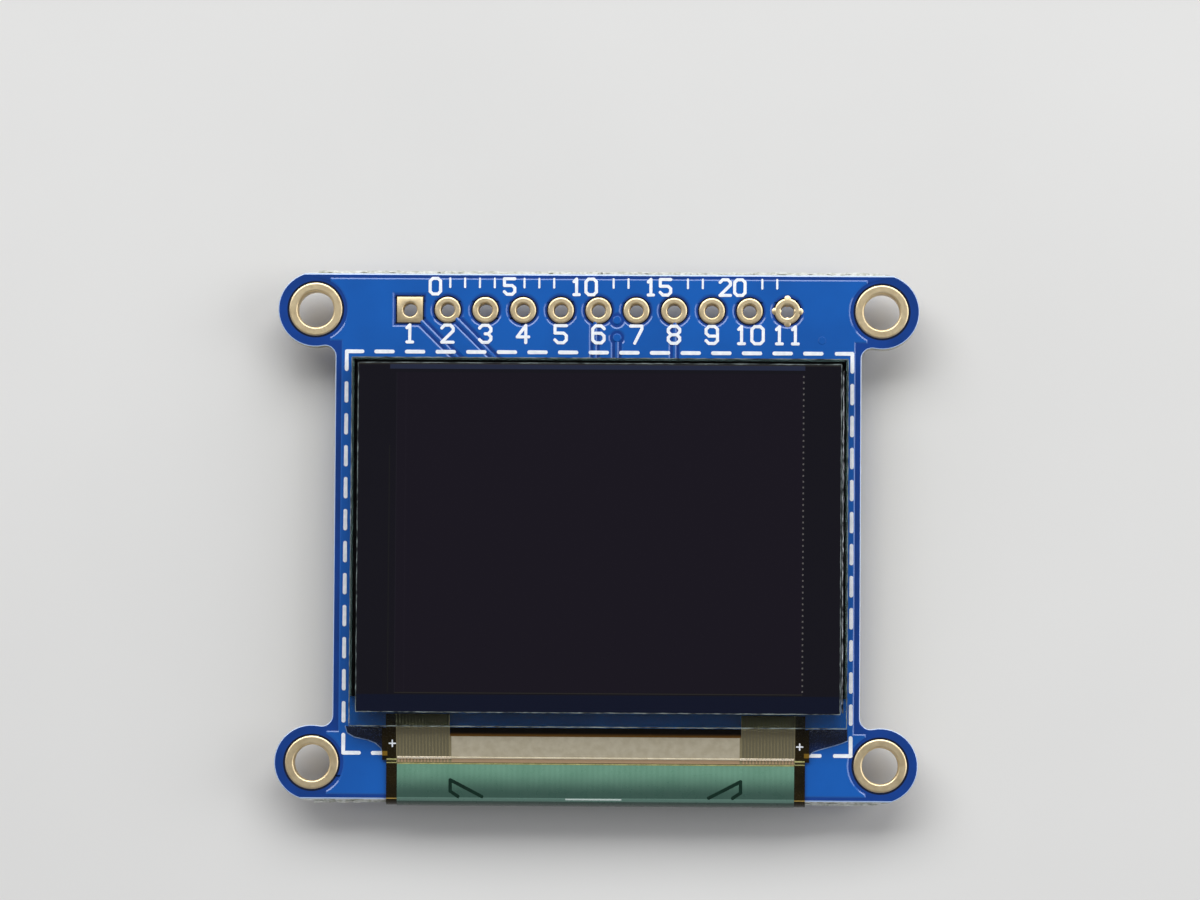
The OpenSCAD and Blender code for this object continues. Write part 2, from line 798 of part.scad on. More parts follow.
module diode_leads() {
    color("silver") on_back(-9.6, 2.9, 90)
        lead_rows([0], [0], 2.7, 0.55, 0.6, 0.6);
}

module inductor_core() {
    core = 3.8;
    h = 1.6;
    color([0.24, 0.24, 0.26]) on_back(-14, 7.4) difference() {
        intersection() {
            block([core, core, h], [0, 0, 0.1]);
            rotate([0, 0, 45]) block([4.7, 4.7, h + cut]);
        }
        translate([0, 0, h - 0.15]) difference() {
            cylinder(d = 3, h = cut);
            translate([0, 0, -cut]) cylinder(d = 2.5, h = 3 * cut);
        }
        for (x = [-1, 1]) block([0.22, 1.6, 1], [x * (core / 2 - 0.1), 0, 0]);
    }
}

module inductor_terminals() {
    color("silver") on_back(-14, 7.4)
        for (x = [0, 1]) mirror([x, 0, 0]) {
            block([0.9, 1.5, 0.1], [1.46, 0, 0]);
            block([0.1, 1.5, 0.9], [1.86, 0, 0]);
        }
}

// A two-ended chip part: a plain body between two plated ends.
module chip_part(l, w, h, plated = 0.35, skin = 0.025) {
    block([l - 2 * plated, w - 2 * skin, h - 2 * skin], [0, 0, skin]);
    for (x = [-1, 1]) block([plated, w, h], [x * (l - plated) / 2, 0, 0]);
}

module chip_at(place) {
    on_back(place[0], place[1], place[2]) chip_part(place[3], place[4], place[5]);
}

module capacitor(i) {
    color("burlywood") chip_at(capacitor_places[i - 1]);
}

module resistor(i) {
    color([0.2, 0.2, 0.22]) chip_at(resistor_places[i - 1]);
}

// ---------------------------------------------------------------- build

pcb();
mounting_hole_plating();
header_hole_plating();
mounting_tape();
encapsulation_glass();
desiccant_sheet();
edge_seal();
emitter_layer();
display_glass();
polarizer();
flex_film();
flex_copper();
flex_coverlay();
driver_chip();
flex_stiffener();
flex_socket_housing();
flex_socket_latch();
flex_socket_contacts();
flex_socket_anchors();
card_socket_shell();
card_socket_base();
card_socket_contacts();
card_detect_spring();
level_shifter_body();
level_shifter_leads();
boost_chip_body();
boost_chip_leads();
regulator_body();
regulator_leads();
transistor_body();
transistor_leads();
diode_body();
diode_leads();
inductor_core();
inductor_terminals();
for (i = [1:capacitor_count])
    capacitor(i);
for (i = [1:resistor_count])
    resistor(i);
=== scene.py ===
"""Small colour display module on a breakout board.

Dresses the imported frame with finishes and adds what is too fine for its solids:
copper under the mask, printed marks, solder, plated ends and board edge fibres.
Builders work in millimetres, and a piece becomes metres when it is finished.
"""

from __future__ import annotations

import logging
import math
from dataclasses import dataclass, field
from enum import Enum
from typing import Iterable, Sequence, Union

import bmesh
import bpy
from mathutils import Matrix, Vector, noise

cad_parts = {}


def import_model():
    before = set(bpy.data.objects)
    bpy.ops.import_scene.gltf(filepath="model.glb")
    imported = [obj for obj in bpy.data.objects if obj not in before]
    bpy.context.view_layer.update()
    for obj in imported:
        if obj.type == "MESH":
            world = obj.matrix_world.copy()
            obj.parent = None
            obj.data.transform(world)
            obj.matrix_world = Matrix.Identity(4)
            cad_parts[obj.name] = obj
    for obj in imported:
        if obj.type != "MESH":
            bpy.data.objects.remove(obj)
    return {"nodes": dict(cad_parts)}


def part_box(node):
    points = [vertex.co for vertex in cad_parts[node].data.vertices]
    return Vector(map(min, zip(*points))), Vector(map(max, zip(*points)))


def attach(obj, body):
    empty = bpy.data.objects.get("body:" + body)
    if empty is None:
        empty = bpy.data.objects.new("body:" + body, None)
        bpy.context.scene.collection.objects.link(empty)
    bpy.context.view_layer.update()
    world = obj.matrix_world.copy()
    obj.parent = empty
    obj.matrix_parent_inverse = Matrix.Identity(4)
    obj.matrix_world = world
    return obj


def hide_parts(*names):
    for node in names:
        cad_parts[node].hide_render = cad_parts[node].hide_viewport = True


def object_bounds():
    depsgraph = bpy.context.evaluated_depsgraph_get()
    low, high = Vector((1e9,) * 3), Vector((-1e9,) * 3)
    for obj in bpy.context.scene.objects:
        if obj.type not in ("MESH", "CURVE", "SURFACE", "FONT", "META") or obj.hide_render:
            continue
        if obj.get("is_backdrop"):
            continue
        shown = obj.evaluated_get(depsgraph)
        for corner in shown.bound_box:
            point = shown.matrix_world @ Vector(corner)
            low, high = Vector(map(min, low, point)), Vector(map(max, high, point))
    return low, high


LOG = logging.getLogger("display_module")
MM = 0.001

Socket = bpy.types.NodeSocket
Value = Union[float, tuple, Socket]
Point = tuple[float, float]
Rgba = tuple[float, float, float, float]


# ------------------------------------------------------------------ shading helpers


def srgb(code: str) -> Rgba:
    """Turns an sRGB hex value into a linear colour.

    Args:
        code: Six hex digits.

    Returns:
        Red, green, blue and an alpha of 1.
    """
    channels = [int(code[i : i + 2], 16) / 255 for i in (0, 2, 4)]
    linear = [
        c / 12.92 if c <= 0.04045 else ((c + 0.055) / 1.055) ** 2.4 for c in channels
    ]
    return (linear[0], linear[1], linear[2], 1.0)


def add_node(
    tree: bpy.types.NodeTree,
    kind: str,
    inputs: dict[Union[int, str], Value] | None = None,
    out: Union[int, str] = 0,
    stops: Sequence[tuple[float, Rgba]] = (),
    **settings: object,
) -> Socket:
    """Adds a shader node.

    Args:
        tree: The material's or world's node tree.
        kind: The node's type name.
        inputs: A value or a socket to link, by input name or number.
        out: The output that is wanted.
        stops: Positions and colours of a colour ramp.
        **settings: The node's own properties.

    Returns:
        The wanted output.
    """
    made = tree.nodes.new(kind)
    for name, setting in settings.items():
        setattr(made, name, setting)
    for key, value in (inputs or {}).items():
        if isinstance(value, bpy.types.NodeSocket):
            tree.links.new(value, made.inputs[key])
        else:
            made.inputs[key].default_value = value
    for i, (position, colour) in enumerate(stops):
        ramp = made.color_ramp.elements
        stop = ramp[i] if i < 2 else ramp.new(position)
        stop.position, stop.color = position, colour
    return made.outputs[out]


# ------------------------------------------------------------------------- finishes


@dataclass(frozen=True)
class Mark:
    """A rectangle drawn on a finish, or a row of dots or lines inside one.

    Attributes:
        low: Its lower left corner, in millimetres.
        high: Its upper right corner.
        colour: Its colour, sRGB hex.
        strength: 1 for full colour.
        pitch: Distance between the dots or lines, or 0 for a plain rectangle.
        share: The part of a pitch that is coloured.
        axis: 0 where the dots follow X and 1 where they follow Y.
    """

    low: Point
    high: Point
    colour: str
    strength: float = 1.0
    pitch: float = 0.0
    share: float = 0.5
    axis: int = 1

    def lay(self, tree: bpy.types.NodeTree, place: Socket, below: Socket) -> Socket:
        """Draws the mark.

        Args:
            tree: The material's node tree.
            place: Position in millimetres.
            below: Colour so far.

        Returns:
            The colour with the mark on it.
        """
        mask: Value = self.strength
        for axis, low, high in zip((0, 1), self.low, self.high):
            along = add_node(tree, "ShaderNodeSeparateXYZ", {0: place}, out=axis)
            limits = {0: along, 1: (low + high) / 2, 2: (high - low) / 2}
            inside = add_node(tree, "ShaderNodeMath", limits, operation="COMPARE")
            mask = add_node(
                tree, "ShaderNodeMath", {0: inside, 1: mask}, operation="MULTIPLY"
            )
            if self.pitch and axis == self.axis:
                steps = {0: along, 1: 1 / self.pitch}
                steps = add_node(tree, "ShaderNodeMath", steps, operation="MULTIPLY")
                phase = add_node(tree, "ShaderNodeMath", {0: steps}, operation="FRACT")
                limits = {0: phase, 1: 0.5, 2: self.share / 2}
                dots = add_node(tree, "ShaderNodeMath", limits, operation="COMPARE")
                mask = add_node(
                    tree, "ShaderNodeMath", {0: dots, 1: mask}, operation="MULTIPLY"
                )
        layers = {0: mask, 6: below, 7: srgb(self.colour)}
        return add_node(tree, "ShaderNodeMix", layers, out=2, data_type="RGBA")


@dataclass(frozen=True)
class Fade:
    """A change of colour that grows along an axis.

    Attributes:
        start: Where it starts, in millimetres.
        end: Where it is complete.
        colour: The colour at its end, sRGB hex.
        strength: 1 for full colour at the end.
        axis: 0 along X, 1 along Y, 2 along Z.
    """

    start: float
    end: float
    colour: str
    strength: float = 1.0
    axis: int = 1

    def lay(self, tree: bpy.types.NodeTree, place: Socket, below: Socket) -> Socket:
        """Draws the fade.

        Args:
            tree: The material's node tree.
            place: Position in millimetres.
            below: Colour so far.

        Returns:
            The colour with the fade on it.
        """
        along = add_node(tree, "ShaderNodeSeparateXYZ", {0: place}, out=self.axis)
        limits = {
            "Value": along, "From Min": self.start, "From Max": self.end,
            "To Max": self.strength,
        }
        share = add_node(
            tree, "ShaderNodeMapRange", limits, interpolation_type="SMOOTHSTEP"
        )
        layers = {0: share, 6: below, 7: srgb(self.colour)}
        return add_node(tree, "ShaderNodeMix", layers, out=2, data_type="RGBA")


@dataclass(frozen=True)
class Collar:
    """A ring drawn round each hole of the four corners, or of a row along X.

    Attributes:
        centre: The first hole, in millimetres.
        inner: Inner radius of the ring.
        outer: Outer radius of the ring.
        colour: Its colour, sRGB hex.
        pitch: Spacing of a row that is centred on X, or 0 for the four corners.
        reach: Half the length of the row.
    """

    centre: Point
    inner: float
    outer: float
    colour: str
    pitch: float = 0.0
    reach: float = 100.0

    def lay(self, tree: bpy.types.NodeTree, place: Socket, below: Socket) -> Socket:
        """Draws the rings.

        Args:
            tree: The material's node tree.
            place: Position in millimetres.
            below: Colour so far.

        Returns:
            The colour with the rings on it.
        """
        across, up = (
            add_node(tree, "ShaderNodeSeparateXYZ", {0: place}, out=i) for i in (0, 1)
        )
        row = {0: across, 1: 0.0, 2: self.reach}
        row = add_node(tree, "ShaderNodeMath", row, operation="COMPARE")
        if self.pitch:
            turns = {0: across, 1: self.pitch / 2, 2: -self.pitch / 2}
            across = add_node(tree, "ShaderNodeMath", turns, operation="WRAP")
        else:
            across, up = (
                add_node(tree, "ShaderNodeMath", {0: way}, operation="ABSOLUTE")
                for way in (across, up)
            )
            offset = {0: across, 1: self.centre[0]}
            across = add_node(tree, "ShaderNodeMath", offset, operation="SUBTRACT")
        offset = {0: up, 1: self.centre[1]}
        up = add_node(tree, "ShaderNodeMath", offset, operation="SUBTRACT")
        arm = add_node(tree, "ShaderNodeCombineXYZ", {0: across, 1: up})
        arm = add_node(tree, "ShaderNodeVectorMath", {0: arm}, out=1, operation="LENGTH")
        middle, half = (self.inner + self.outer) / 2, (self.outer - self.inner) / 2
        ring = {0: arm, 1: middle, 2: half}
        ring = add_node(tree, "ShaderNodeMath", ring, operation="COMPARE")
        ring = add_node(tree, "ShaderNodeMath", {0: ring, 1: row}, operation="MULTIPLY")
        layers = {0: ring, 6: below, 7: srgb(self.colour)}
        return add_node(tree, "ShaderNodeMix", layers, out=2, data_type="RGBA")


@dataclass(frozen=True)
class Finish:
    """A surface with its colours, gloss and grain.

    Attributes:
        name: Common name of the real material.
        colour: Body colour, sRGB hex.
        shade: Colour of its darker patches, sRGB hex.
        patch_mm: Size of the patches.
        roughness: Mean roughness.
        spread: How far the roughness wanders from its mean.
        grain_mm: Size of the surface grain along X, Y and Z.
        relief_mm: Height of the grain.
        metallic: 1 for bare metal.
        coat: Weight of a clear layer on top.
        clear: Share of light that passes through.
        ior: Refractive index of a non-metal.
        mirror: Tint of its straight reflections: less than 1 under a clear bond, and on
            the bare film as painted shade.
        marks: What is drawn on it, from the lowest layer up.
        dust_mm: Mean distance between specks of dust, or 0 for none.
        speck_mm: Radius of a speck.
        dust: Colour of the dust, sRGB hex.
    """

    name: str
    colour: str
    shade: str
    patch_mm: float = 1.0
    roughness: float = 0.5
    spread: float = 0.08
    grain_mm: tuple[float, float, float] = (0.1, 0.1, 0.1)
    relief_mm: float = 0.003
    metallic: float = 0.0
    coat: float = 0.0
    clear: float = 0.0
    ior: float = 1.5
    mirror: float = 1.0
    marks: tuple[Union[Mark, Fade, Collar], ...] = ()
    dust_mm: float = 0.0
    speck_mm: float = 0.035
    dust: str = "8E9296"

    def material(self) -> bpy.types.Material:
        """Builds the material the first time it is asked for.

        Returns:
            The material of this name.
        """
        made = bpy.data.materials.get(self.name)
        if made is None:
            made = bpy.data.materials.new(self.name)
            made.use_nodes = True
            self._build(made.node_tree)
        return made

    def _build(self, tree: bpy.types.NodeTree) -> None:
        """Fills the node tree: patches, drawn marks, roughness and relief.

        Args:
            tree: The material's node tree.
        """
        shader = tree.nodes["Principled BSDF"]
        place = add_node(
            tree,
            "ShaderNodeMapping",
            {
                "Vector": add_node(tree, "ShaderNodeTexCoord", out="Object"),
                "Scale": (1 / MM,) * 3,
            },
        )
        patches = {"Vector": place, "Scale": 1 / self.patch_mm, "Detail": 4.0}
        patches = add_node(tree, "ShaderNodeTexNoise", patches)
        body = add_node(
            tree,
            "ShaderNodeValToRGB",
            {"Fac": patches},
            stops=[(0.36, srgb(self.shade)), (0.64, srgb(self.colour))],
        )
        scales = {"Vector": place, "Scale": tuple(1 / size for size in self.grain_mm)}
        grain = add_node(tree, "ShaderNodeMapping", scales)
        grain = {"Vector": grain, "Scale": 1.0, "Detail": 3.0}
        grain = add_node(tree, "ShaderNodeTexNoise", grain)
        gloss = {
            "Value": grain,
            "From Min": 0.3,
            "From Max": 0.7,
            "To Min": max(self.roughness - self.spread, 0.02),
            "To Max": min(self.roughness + self.spread, 1.0),
        }
        gloss = add_node(tree, "ShaderNodeMapRange", gloss)
        tree.links.new(self.pattern(tree, place, body), shader.inputs["Base Color"])
        tree.links.new(gloss, shader.inputs["Roughness"])
        if self.relief_mm:
            relief = {"Height": grain, "Distance": self.relief_mm * MM}
            relief = add_node(tree, "ShaderNodeBump", relief)
            tree.links.new(relief, shader.inputs["Normal"])
        shader.inputs["Metallic"].default_value = self.metallic
        shader.inputs["IOR"].default_value = self.ior
        shader.inputs["Specular Tint"].default_value = (*(self.mirror,) * 3, 1.0)
        shader.inputs["Coat Weight"].default_value = self.coat
        shader.inputs["Transmission Weight"].default_value = self.clear

    def pattern(self, tree: bpy.types.NodeTree, place: Socket, body: Socket) -> Socket:
        """Draws the marks over the body colour.

        Args:
            tree: The material's node tree.
            place: Position in millimetres.
            body: Body colour.

        Returns:
            The finished colour.
        """
        for mark in self.marks:
            body = mark.lay(tree, place, body)
        if self.dust_mm:
            specks = {"Vector": place, "Scale": 1 / self.dust_mm}
            specks = add_node(tree, "ShaderNodeTexVoronoi", specks)
            specks = {0: specks, 1: self.speck_mm / self.dust_mm}
            specks = add_node(tree, "ShaderNodeMath", specks, operation="LESS_THAN")
            layers = {0: specks, 6: body, 7: srgb(self.dust)}
            body = add_node(tree, "ShaderNodeMix", layers, out=2, data_type="RGBA")
        return body


@dataclass(frozen=True)
class LaminateUnderMask(Finish):
    """Board faces under blue solder mask, and cut glass-fibre laminate at its edges.

    Attributes:
        cut: Colour of the glass in the routed edge, sRGB hex.
        cut_shade: Colour of the resin between its layers, sRGB hex.
        snapped: Colour of the scored and snapped edges, sRGB hex.
        snapped_shade: Colour between their torn tufts, sRGB hex.
        rim: Colour of the eased rims, sRGB hex: pale where the mask thins out over them,
            and partly a painted highlight along the edges.
        score_y: Distance of the scored bevels from the middle, in millimetres.
        ply_mm: Thickness of one layer of glass cloth.
        tuft_mm: Size of the torn tufts of the snapped edges.
    """

    cut: str = "B4AD86"
    cut_shade: str = "8C8560"
    snapped: str = "DFE2E0"
    snapped_shade: str = "A3A695"
    rim: str = "B4CCF2"
    score_y: float = 17.62
    ply_mm: float = 0.18
    tuft_mm: float = 0.35

    def pattern(self, tree: bpy.types.NodeTree, place: Socket, body: Socket) -> Socket:
        """Shows the layers of cloth where the surface does not look along Z.

        Args:
            tree: The material's node tree.
            place: Position in millimetres.
            body: Colour of the mask.

        Returns:
            The mask on the faces, and the cut or torn laminate at the edges.
        """
        normal = add_node(tree, "ShaderNodeTexCoord", out="Normal")
        facing = add_node(tree, "ShaderNodeSeparateXYZ", {0: normal}, out=2)
        # a wall looks across Z, an eased rim looks half along it
        wall, eased = (
            add_node(
                tree, "ShaderNodeMath", {0: facing, 1: 0.0, 2: steep}, operation="COMPARE"
            )
            for steep in (0.5, 0.97)
        )
        # the wave's own period is 0.314 at a scale of 1
        plies = {
            "Vector": place, "Scale": 0.314 / self.ply_mm, "Distortion": 1.5,
            "Detail": 3.0, "Detail Scale": 3.0,
        }
        plies = add_node(tree, "ShaderNodeTexWave", plies, out=1, bands_direction="Z")
        sawn = [(0.2, srgb(self.cut_shade)), (0.8, srgb(self.cut))]
        sawn = add_node(tree, "ShaderNodeValToRGB", {"Fac": plies}, stops=sawn)
        across = add_node(tree, "ShaderNodeSeparateXYZ", {0: place}, out=1)
        inner = {0: across, 1: 0.0, 2: self.score_y}
        inner = add_node(tree, "ShaderNodeMath", inner, operation="COMPARE")
        tufts = {"Vector": place, "Scale": 1 / self.tuft_mm, "Detail": 5.0}
        tufts = add_node(tree, "ShaderNodeTexNoise", tufts)
        torn = [(0.42, srgb(self.snapped_shade)), (0.56, srgb(self.snapped))]
        torn = add_node(tree, "ShaderNodeValToRGB", {"Fac": tufts}, stops=torn)
        layers = {0: inner, 6: torn, 7: sawn}
        fibres = add_node(tree, "ShaderNodeMix", layers, out=2, data_type="RGBA")
        # the pale colour of the eased rims is partly a painted highlight
        layers = {0: wall, 6: srgb(self.rim), 7: fibres}
        fibres = add_node(tree, "ShaderNodeMix", layers, out=2, data_type="RGBA")
        layers = {0: eased, 6: super().pattern(tree, place, body), 7: fibres}
        return add_node(tree, "ShaderNodeMix", layers, out=2, data_type="RGBA")


class Finishes(Enum):
    """The object's finishes, by what they cover."""

    # glossy blue mask straight on glass cloth: deep blue, bare and dark round the lands
    BOARD = LaminateUnderMask(
        "solder mask on laminate", "0C3F92", "09377F", 3.0, 0.2, 0.05, relief_mm=0.001,
        coat=0.4,
        marks=(
            Mark((-13.67, 14.27), (-11.73, 16.21), "071430"),
            Collar((0.0, 15.24), 0.8, 0.97, "071430", pitch=2.54, reach=14.0),
            Collar((19.05, 15.24), 1.7, 1.92, "071430"),
        ),
    )
    # the same mask over copper foil: brighter blue with a clean gloss
    COPPER_UNDER_MASK = Finish(
        "solder mask over copper", "0E5CB4", "0C55A9", 5.0, 0.15, 0.04, relief_mm=0.0008,
        coat=0.6
    )
    # screen-printed white epoxy ink: chalky, with a slightly uneven edge
    INK = Finish(
        "white marking ink", "F8FBFF", "E6ECF2", 0.4, 0.65, 0.1, (0.06,) * 3, 0.004
    )
    # gold over nickel: pale yellow metal with a satin surface
    GOLD = Finish(
        "immersion gold", "F0DDB4", "E3CEA3", 0.8, 0.42, 0.05, (0.12,) * 3, 0.0008,
        metallic=1.0,
    )
    # lead-free solder and tinned leads: bright grey with dull patches
    TIN = Finish(
        "tinned metal", "CFD0D2", "AFB1B4", 0.5, 0.32, 0.12, (0.07,) * 3, 0.004,
        metallic=1.0,
    )
    # broken glass fibres of the snapped edge: dull off-white
    FIBRE = Finish(
        "glass fibre", "E4E6E2", "BDBFB4", 0.25, 0.85, 0.1, (0.3, 0.03, 0.03), 0.02
    )
    # black acrylic foam tape
    FOAM = Finish("foam tape", "1C1C1D", "121213", 0.4, 0.9, 0.05, relief_mm=0.02)
    # soda-lime glass, bonded to what lies under it, so it hazes little
    GLASS = Finish(
        "display glass", "EDF4F0", "E4EEE9", 4.0, 0.03, 0.01, relief_mm=0.0, clear=1.0,
        ior=1.52, mirror=0.3,
    )
    # white moisture absorber
    DESICCANT = Finish("desiccant sheet", "DADAD2", "C8C8C0", 0.6, 0.9)
    # cured epoxy between the glasses, out to the rim: milky, dim under the glass
    SEAL = Finish("seal resin", "6F888A", "5F787B", 0.8, 0.35)
    # thin glue sheet beside the flex, painted near black as the glass's shadow on the
    # mask, fading lighter away from the glass
    GLUE = Finish(
        "panel glue", "0A1A38", "08142C", 0.8, 0.25, coat=0.3,
        marks=(Fade(-13.5, -14.4, "0D2C62", 0.7),),
    )
    # its raised rim, painted pale as the bright line of light along the edge of the
    # glass's shadow
    GLUE_RIM = Finish("panel glue rim", "8FA9CC", "6E8AB4", 0.5, 0.25, coat=0.5)
    # evaporated cathode metal seen from the front
    EMITTER = Finish("emitter layer", "1B171E", "141118", 2.0, 0.3)
    # circular polarizer: glossy, near black, purple over the emitters, faint frame lines
    POLARIZER = Finish(
        "polarizer film", "0D0B14", "0C0A13", 6.0, 0.07, 0.02, relief_mm=0.0,
        marks=(
            Mark((-20.0, -11.85), (20.0, -10.66), "050B20"),
            Mark((-13.9, 11.14), (13.9, 11.5), "20263A"),
            Mark((-13.44, -10.54), (13.8, 10.9), "110C17"),
            Mark((-13.47, -10.54), (-13.41, 10.9), "1C1A22", 0.5),
            Mark((-13.93, -10.54), (-13.87, 6.0), "1E2018", 0.4),
            Mark((-12.85, -10.54), (-12.79, 10.9), "18141E", 0.4),
            Mark((-13.44, -10.57), (13.8, -10.51), "24221C"),
            Mark((13.75, -10.54), (13.85, 10.9), "63605E", 0.8, 0.39, 0.3),
            Mark((-16.0, 11.44), (16.3, 11.5), "2E2B26", 0.8),
        ),
        dust_mm=3.4,
    )
    # mitred and ground edges of the glass and the film: dull grey, with bright patches
    # painted as glints of light
    GROUND_EDGE = Finish(
        "ground glass edge", "7A8684", "1A2222", 0.7, 0.4, 0.15, (0.1,) * 3, 0.004
    )
    # pale line beside the film's right edge, painted as the glints of light that catch
    # that edge, with dark gaps
    CHIPPED_EDGE = Finish(
        "painted glint edge", "D5DCE2", "2A3034", 0.55, 0.35, 0.15, (0.1,) * 3, 0.004
    )
    # amber polyimide film over the dark blue mask: glossy, nearly black brown
    POLYIMIDE = Finish(
        "polyimide film", "241C07", "171204", 1.5, 0.25, 0.06, relief_mm=0.001, mirror=0.5,
        marks=(
            Mark((-13.35, -15.2), (13.35, -11.0), "857D60"),
            Mark((-14.3, -14.75), (-13.95, -14.45), "8A6A20", 0.8),
            Mark((13.95, -14.75), (14.3, -14.45), "8A6A20", 0.8),
            # painted highlight: a golden line on the film's margins along the fold's crest
            Mark((-14.1, -17.64), (14.1, -17.58), "C9A95A", 0.7),
        ),
    )
    # the same film where it has no foil, in the glass's shadow: painted brown black as
    # shade, and amber along its lower edge where the light reaches it; its reflections
    # turned down as painted shade
    BARE_FILM = Finish(
        "bare polyimide film", "0B0906", "080704", 1.0, 0.55, 0.06, relief_mm=0.001,
        mirror=0.2, marks=(Fade(-13.15, -13.46, "7A5522", 0.9),),
    )
    # plated foil on the flex: soft beige metal sheen, darker where it is etched to lines
    FLEX_COPPER = Finish(
        "plated flex copper", "DCD3B9", "D0C6AA", 0.5, 0.45, 0.08, (0.06, 0.5, 0.5),
        0.001, metallic=0.55,
        marks=(
            Mark((-14.0, -14.95), (-9.66, -11.0), "7E785F"),
            Mark((9.66, -14.95), (14.0, -11.0), "7E785F"),
            Mark((-14.0, -15.3), (14.0, -14.93), "BC9F7E"),
        ),
    )
    # fold line of the flex: near white, partly a painted highlight of the light on the
    # fold
    FOLD = Finish("fold foil with painted highlight", "FFF4DE", "F6E6C8", 0.3, 0.3, 0.1, metallic=0.6)
    # squeezed-out adhesive along the cover film: pale amber gloss
    ADHESIVE = Finish("cover film adhesive", "A5A268", "8B8A55", 0.4, 0.3, coat=0.3)
    # green cover film: soft satin gloss, with painted shade darkening it towards the fold
    # and over it, and painted highlight lines along the fold's crest
    COVERLAY = Finish(
        "green coverlay", "6A9680", "618D77", 2.5, 0.3, 0.05, (0.5,) * 3, 0.002,
        coat=0.2,
        marks=(
            Mark((-13.3, -19.0), (13.3, 0.0), "3F6C58", 0.12, 0.36, axis=0),
            # painted shade: darker towards the fold and darker still over it
            Fade(-15.6, -17.3, "2A463E", 0.9),
            Fade(-17.5, -18.0, "22352F", 0.7),
            # painted highlights: a pale line along the fold's crest and a brighter glint
            # in its middle
            Mark((-13.3, -17.76), (13.3, -17.52), "6F9185", 0.5),
            Mark((-2.0, -17.66), (1.75, -17.56), "C4D3CE", 0.85),
        ),
    )
    # dark legend ink of the fold marks on the cover film
    LEGEND = Finish("dark legend ink", "06281C", "052117", 0.4, 0.2)
    # ground back of a bare silicon die
    SILICON = Finish(
        "silicon die", "3B3D42", "303238", 1.5, 0.22, 0.04, metallic=0.6
    )
    # glass-epoxy stiffener glued under the contact end
    STIFFENER = Finish("flex stiffener", "C98B3A", "B67A2C", 1.0, 0.45)
    # liquid-crystal polymer, moulded, ivory
    HOUSING = Finish(
        "ivory connector plastic", "D9CCAE", "CDBF9F", 1.2, 0.55, 0.08, (0.15,) * 3, 0.006
    )
    # the same kind of plastic in dark brown
    LATCH = Finish(
        "dark connector plastic", "2B2724", "211E1C", 1.0, 0.48, 0.08, (0.15,) * 3, 0.006
    )
    # thin gold flash on copper alloy
    CONTACT = Finish(
        "gold-plated contact", "E2B765", "CFA04E", 0.6, 0.25, 0.06, (0.05, 0.5, 0.05),
        0.001, metallic=1.0,
    )
    # stamped nickel-plated steel: bright, with rolling lines along X
    STEEL = Finish(
        "nickel-plated steel", "C6C5C0", "B2B1AC", 2.0, 0.27, 0.09, (1.6, 0.05, 0.05),
        0.002, metallic=1.0,
    )
    # black moulded thermoplastic
    BLACK_PLASTIC = Finish("black connector plastic", "1B1B1D", "141416", 1.0, 0.5)
    # transfer-moulded epoxy of chip bodies: matt, finely pitted
    EPOXY = Finish(
        "chip epoxy", "232326", "1A1A1C", 0.5, 0.62, 0.1, (0.05,) * 3, 0.006
    )
    # pressed ferrite: dark grey, slightly sparkling
    FERRITE = Finish(
        "ferrite", "3C3C3E", "2C2C2E", 0.3, 0.55, 0.15, (0.06,) * 3, 0.01
    )
    # fired dielectric ceramic, tan
    CAPACITOR = Finish(
        "dielectric ceramic", "A9825C", "98724E", 0.3, 0.45, 0.08, (0.06,) * 3, 0.004
    )
    # white alumina
    ALUMINA = Finish("alumina", "E3E2DC", "D3D2CB", 0.3, 0.55)
    # dark overglaze on a resistor's upper face
    GLAZE = Finish("resistor glaze", "1E1F22", "17181A", 0.4, 0.2)
    # plain pale table
    TABLE = Finish("pale table", "DCDCDA", "D9D9D7", 40.0, 0.85, 0.03, (2.0,) * 3, 0.0)

    def material(self) -> bpy.types.Material:
        """Returns the finish's material."""
        return self.value.material()


# ----------------------------------------------------------------- modelling helpers


class Face(Enum):
    """A face of the board: its height and the direction that leads away from it."""

    FRONT = (1.6, 1.0)
    REAR = (0.0, -1.0)

    def height(self, rise: float) -> float:
        """Returns the Z of a point that stands `rise` off this face."""
        return self.value[0] + self.value[1] * rise


def block(bm: bmesh.types.BMesh, low: Sequence[float], high: Sequence[float]) -> list:
    """Adds a box between two corners.

    Args:
        bm: Mesh to add to.
        low: One corner.
        high: The opposite corner.

    Returns:
        The new vertices.
    """
    low, high = Vector(low), Vector(high)
    made = bmesh.ops.create_cube(bm, size=1.0)["verts"]
    bmesh.ops.scale(bm, vec=[abs(d) for d in high - low], verts=made)
    bmesh.ops.translate(bm, vec=(low + high) / 2, verts=made)
    return made


def disc(
    bm: bmesh.types.BMesh,
    centre: Point,
    radius: float,
    z0: float,
    z1: float,
    segments: int = 32,
    top_radius: float | None = None,
) -> list:
    """Adds a short cylinder or frustum that stands on z0 and ends at z1.

    Args:
        bm: Mesh to add to.
        centre: Its axis in X and Y.
        radius: Radius at z0.
        z0: Height of its foot.
        z1: Height of its top, which may be lower.
        segments: Sides.
        top_radius: Radius at z1, the same as the foot's if left out.

    Returns:
        The new vertices.
    """
    top = radius if top_radius is None else top_radius
    made = bmesh.ops.create_cone(
        bm, cap_ends=True, segments=segments, radius1=radius, radius2=top,
        depth=abs(z1 - z0),
    )["verts"]
    if z1 < z0:
        bmesh.ops.scale(bm, vec=(1, 1, -1), verts=made)
    bmesh.ops.translate(bm, vec=(*centre, (z0 + z1) / 2), verts=made)
    return made


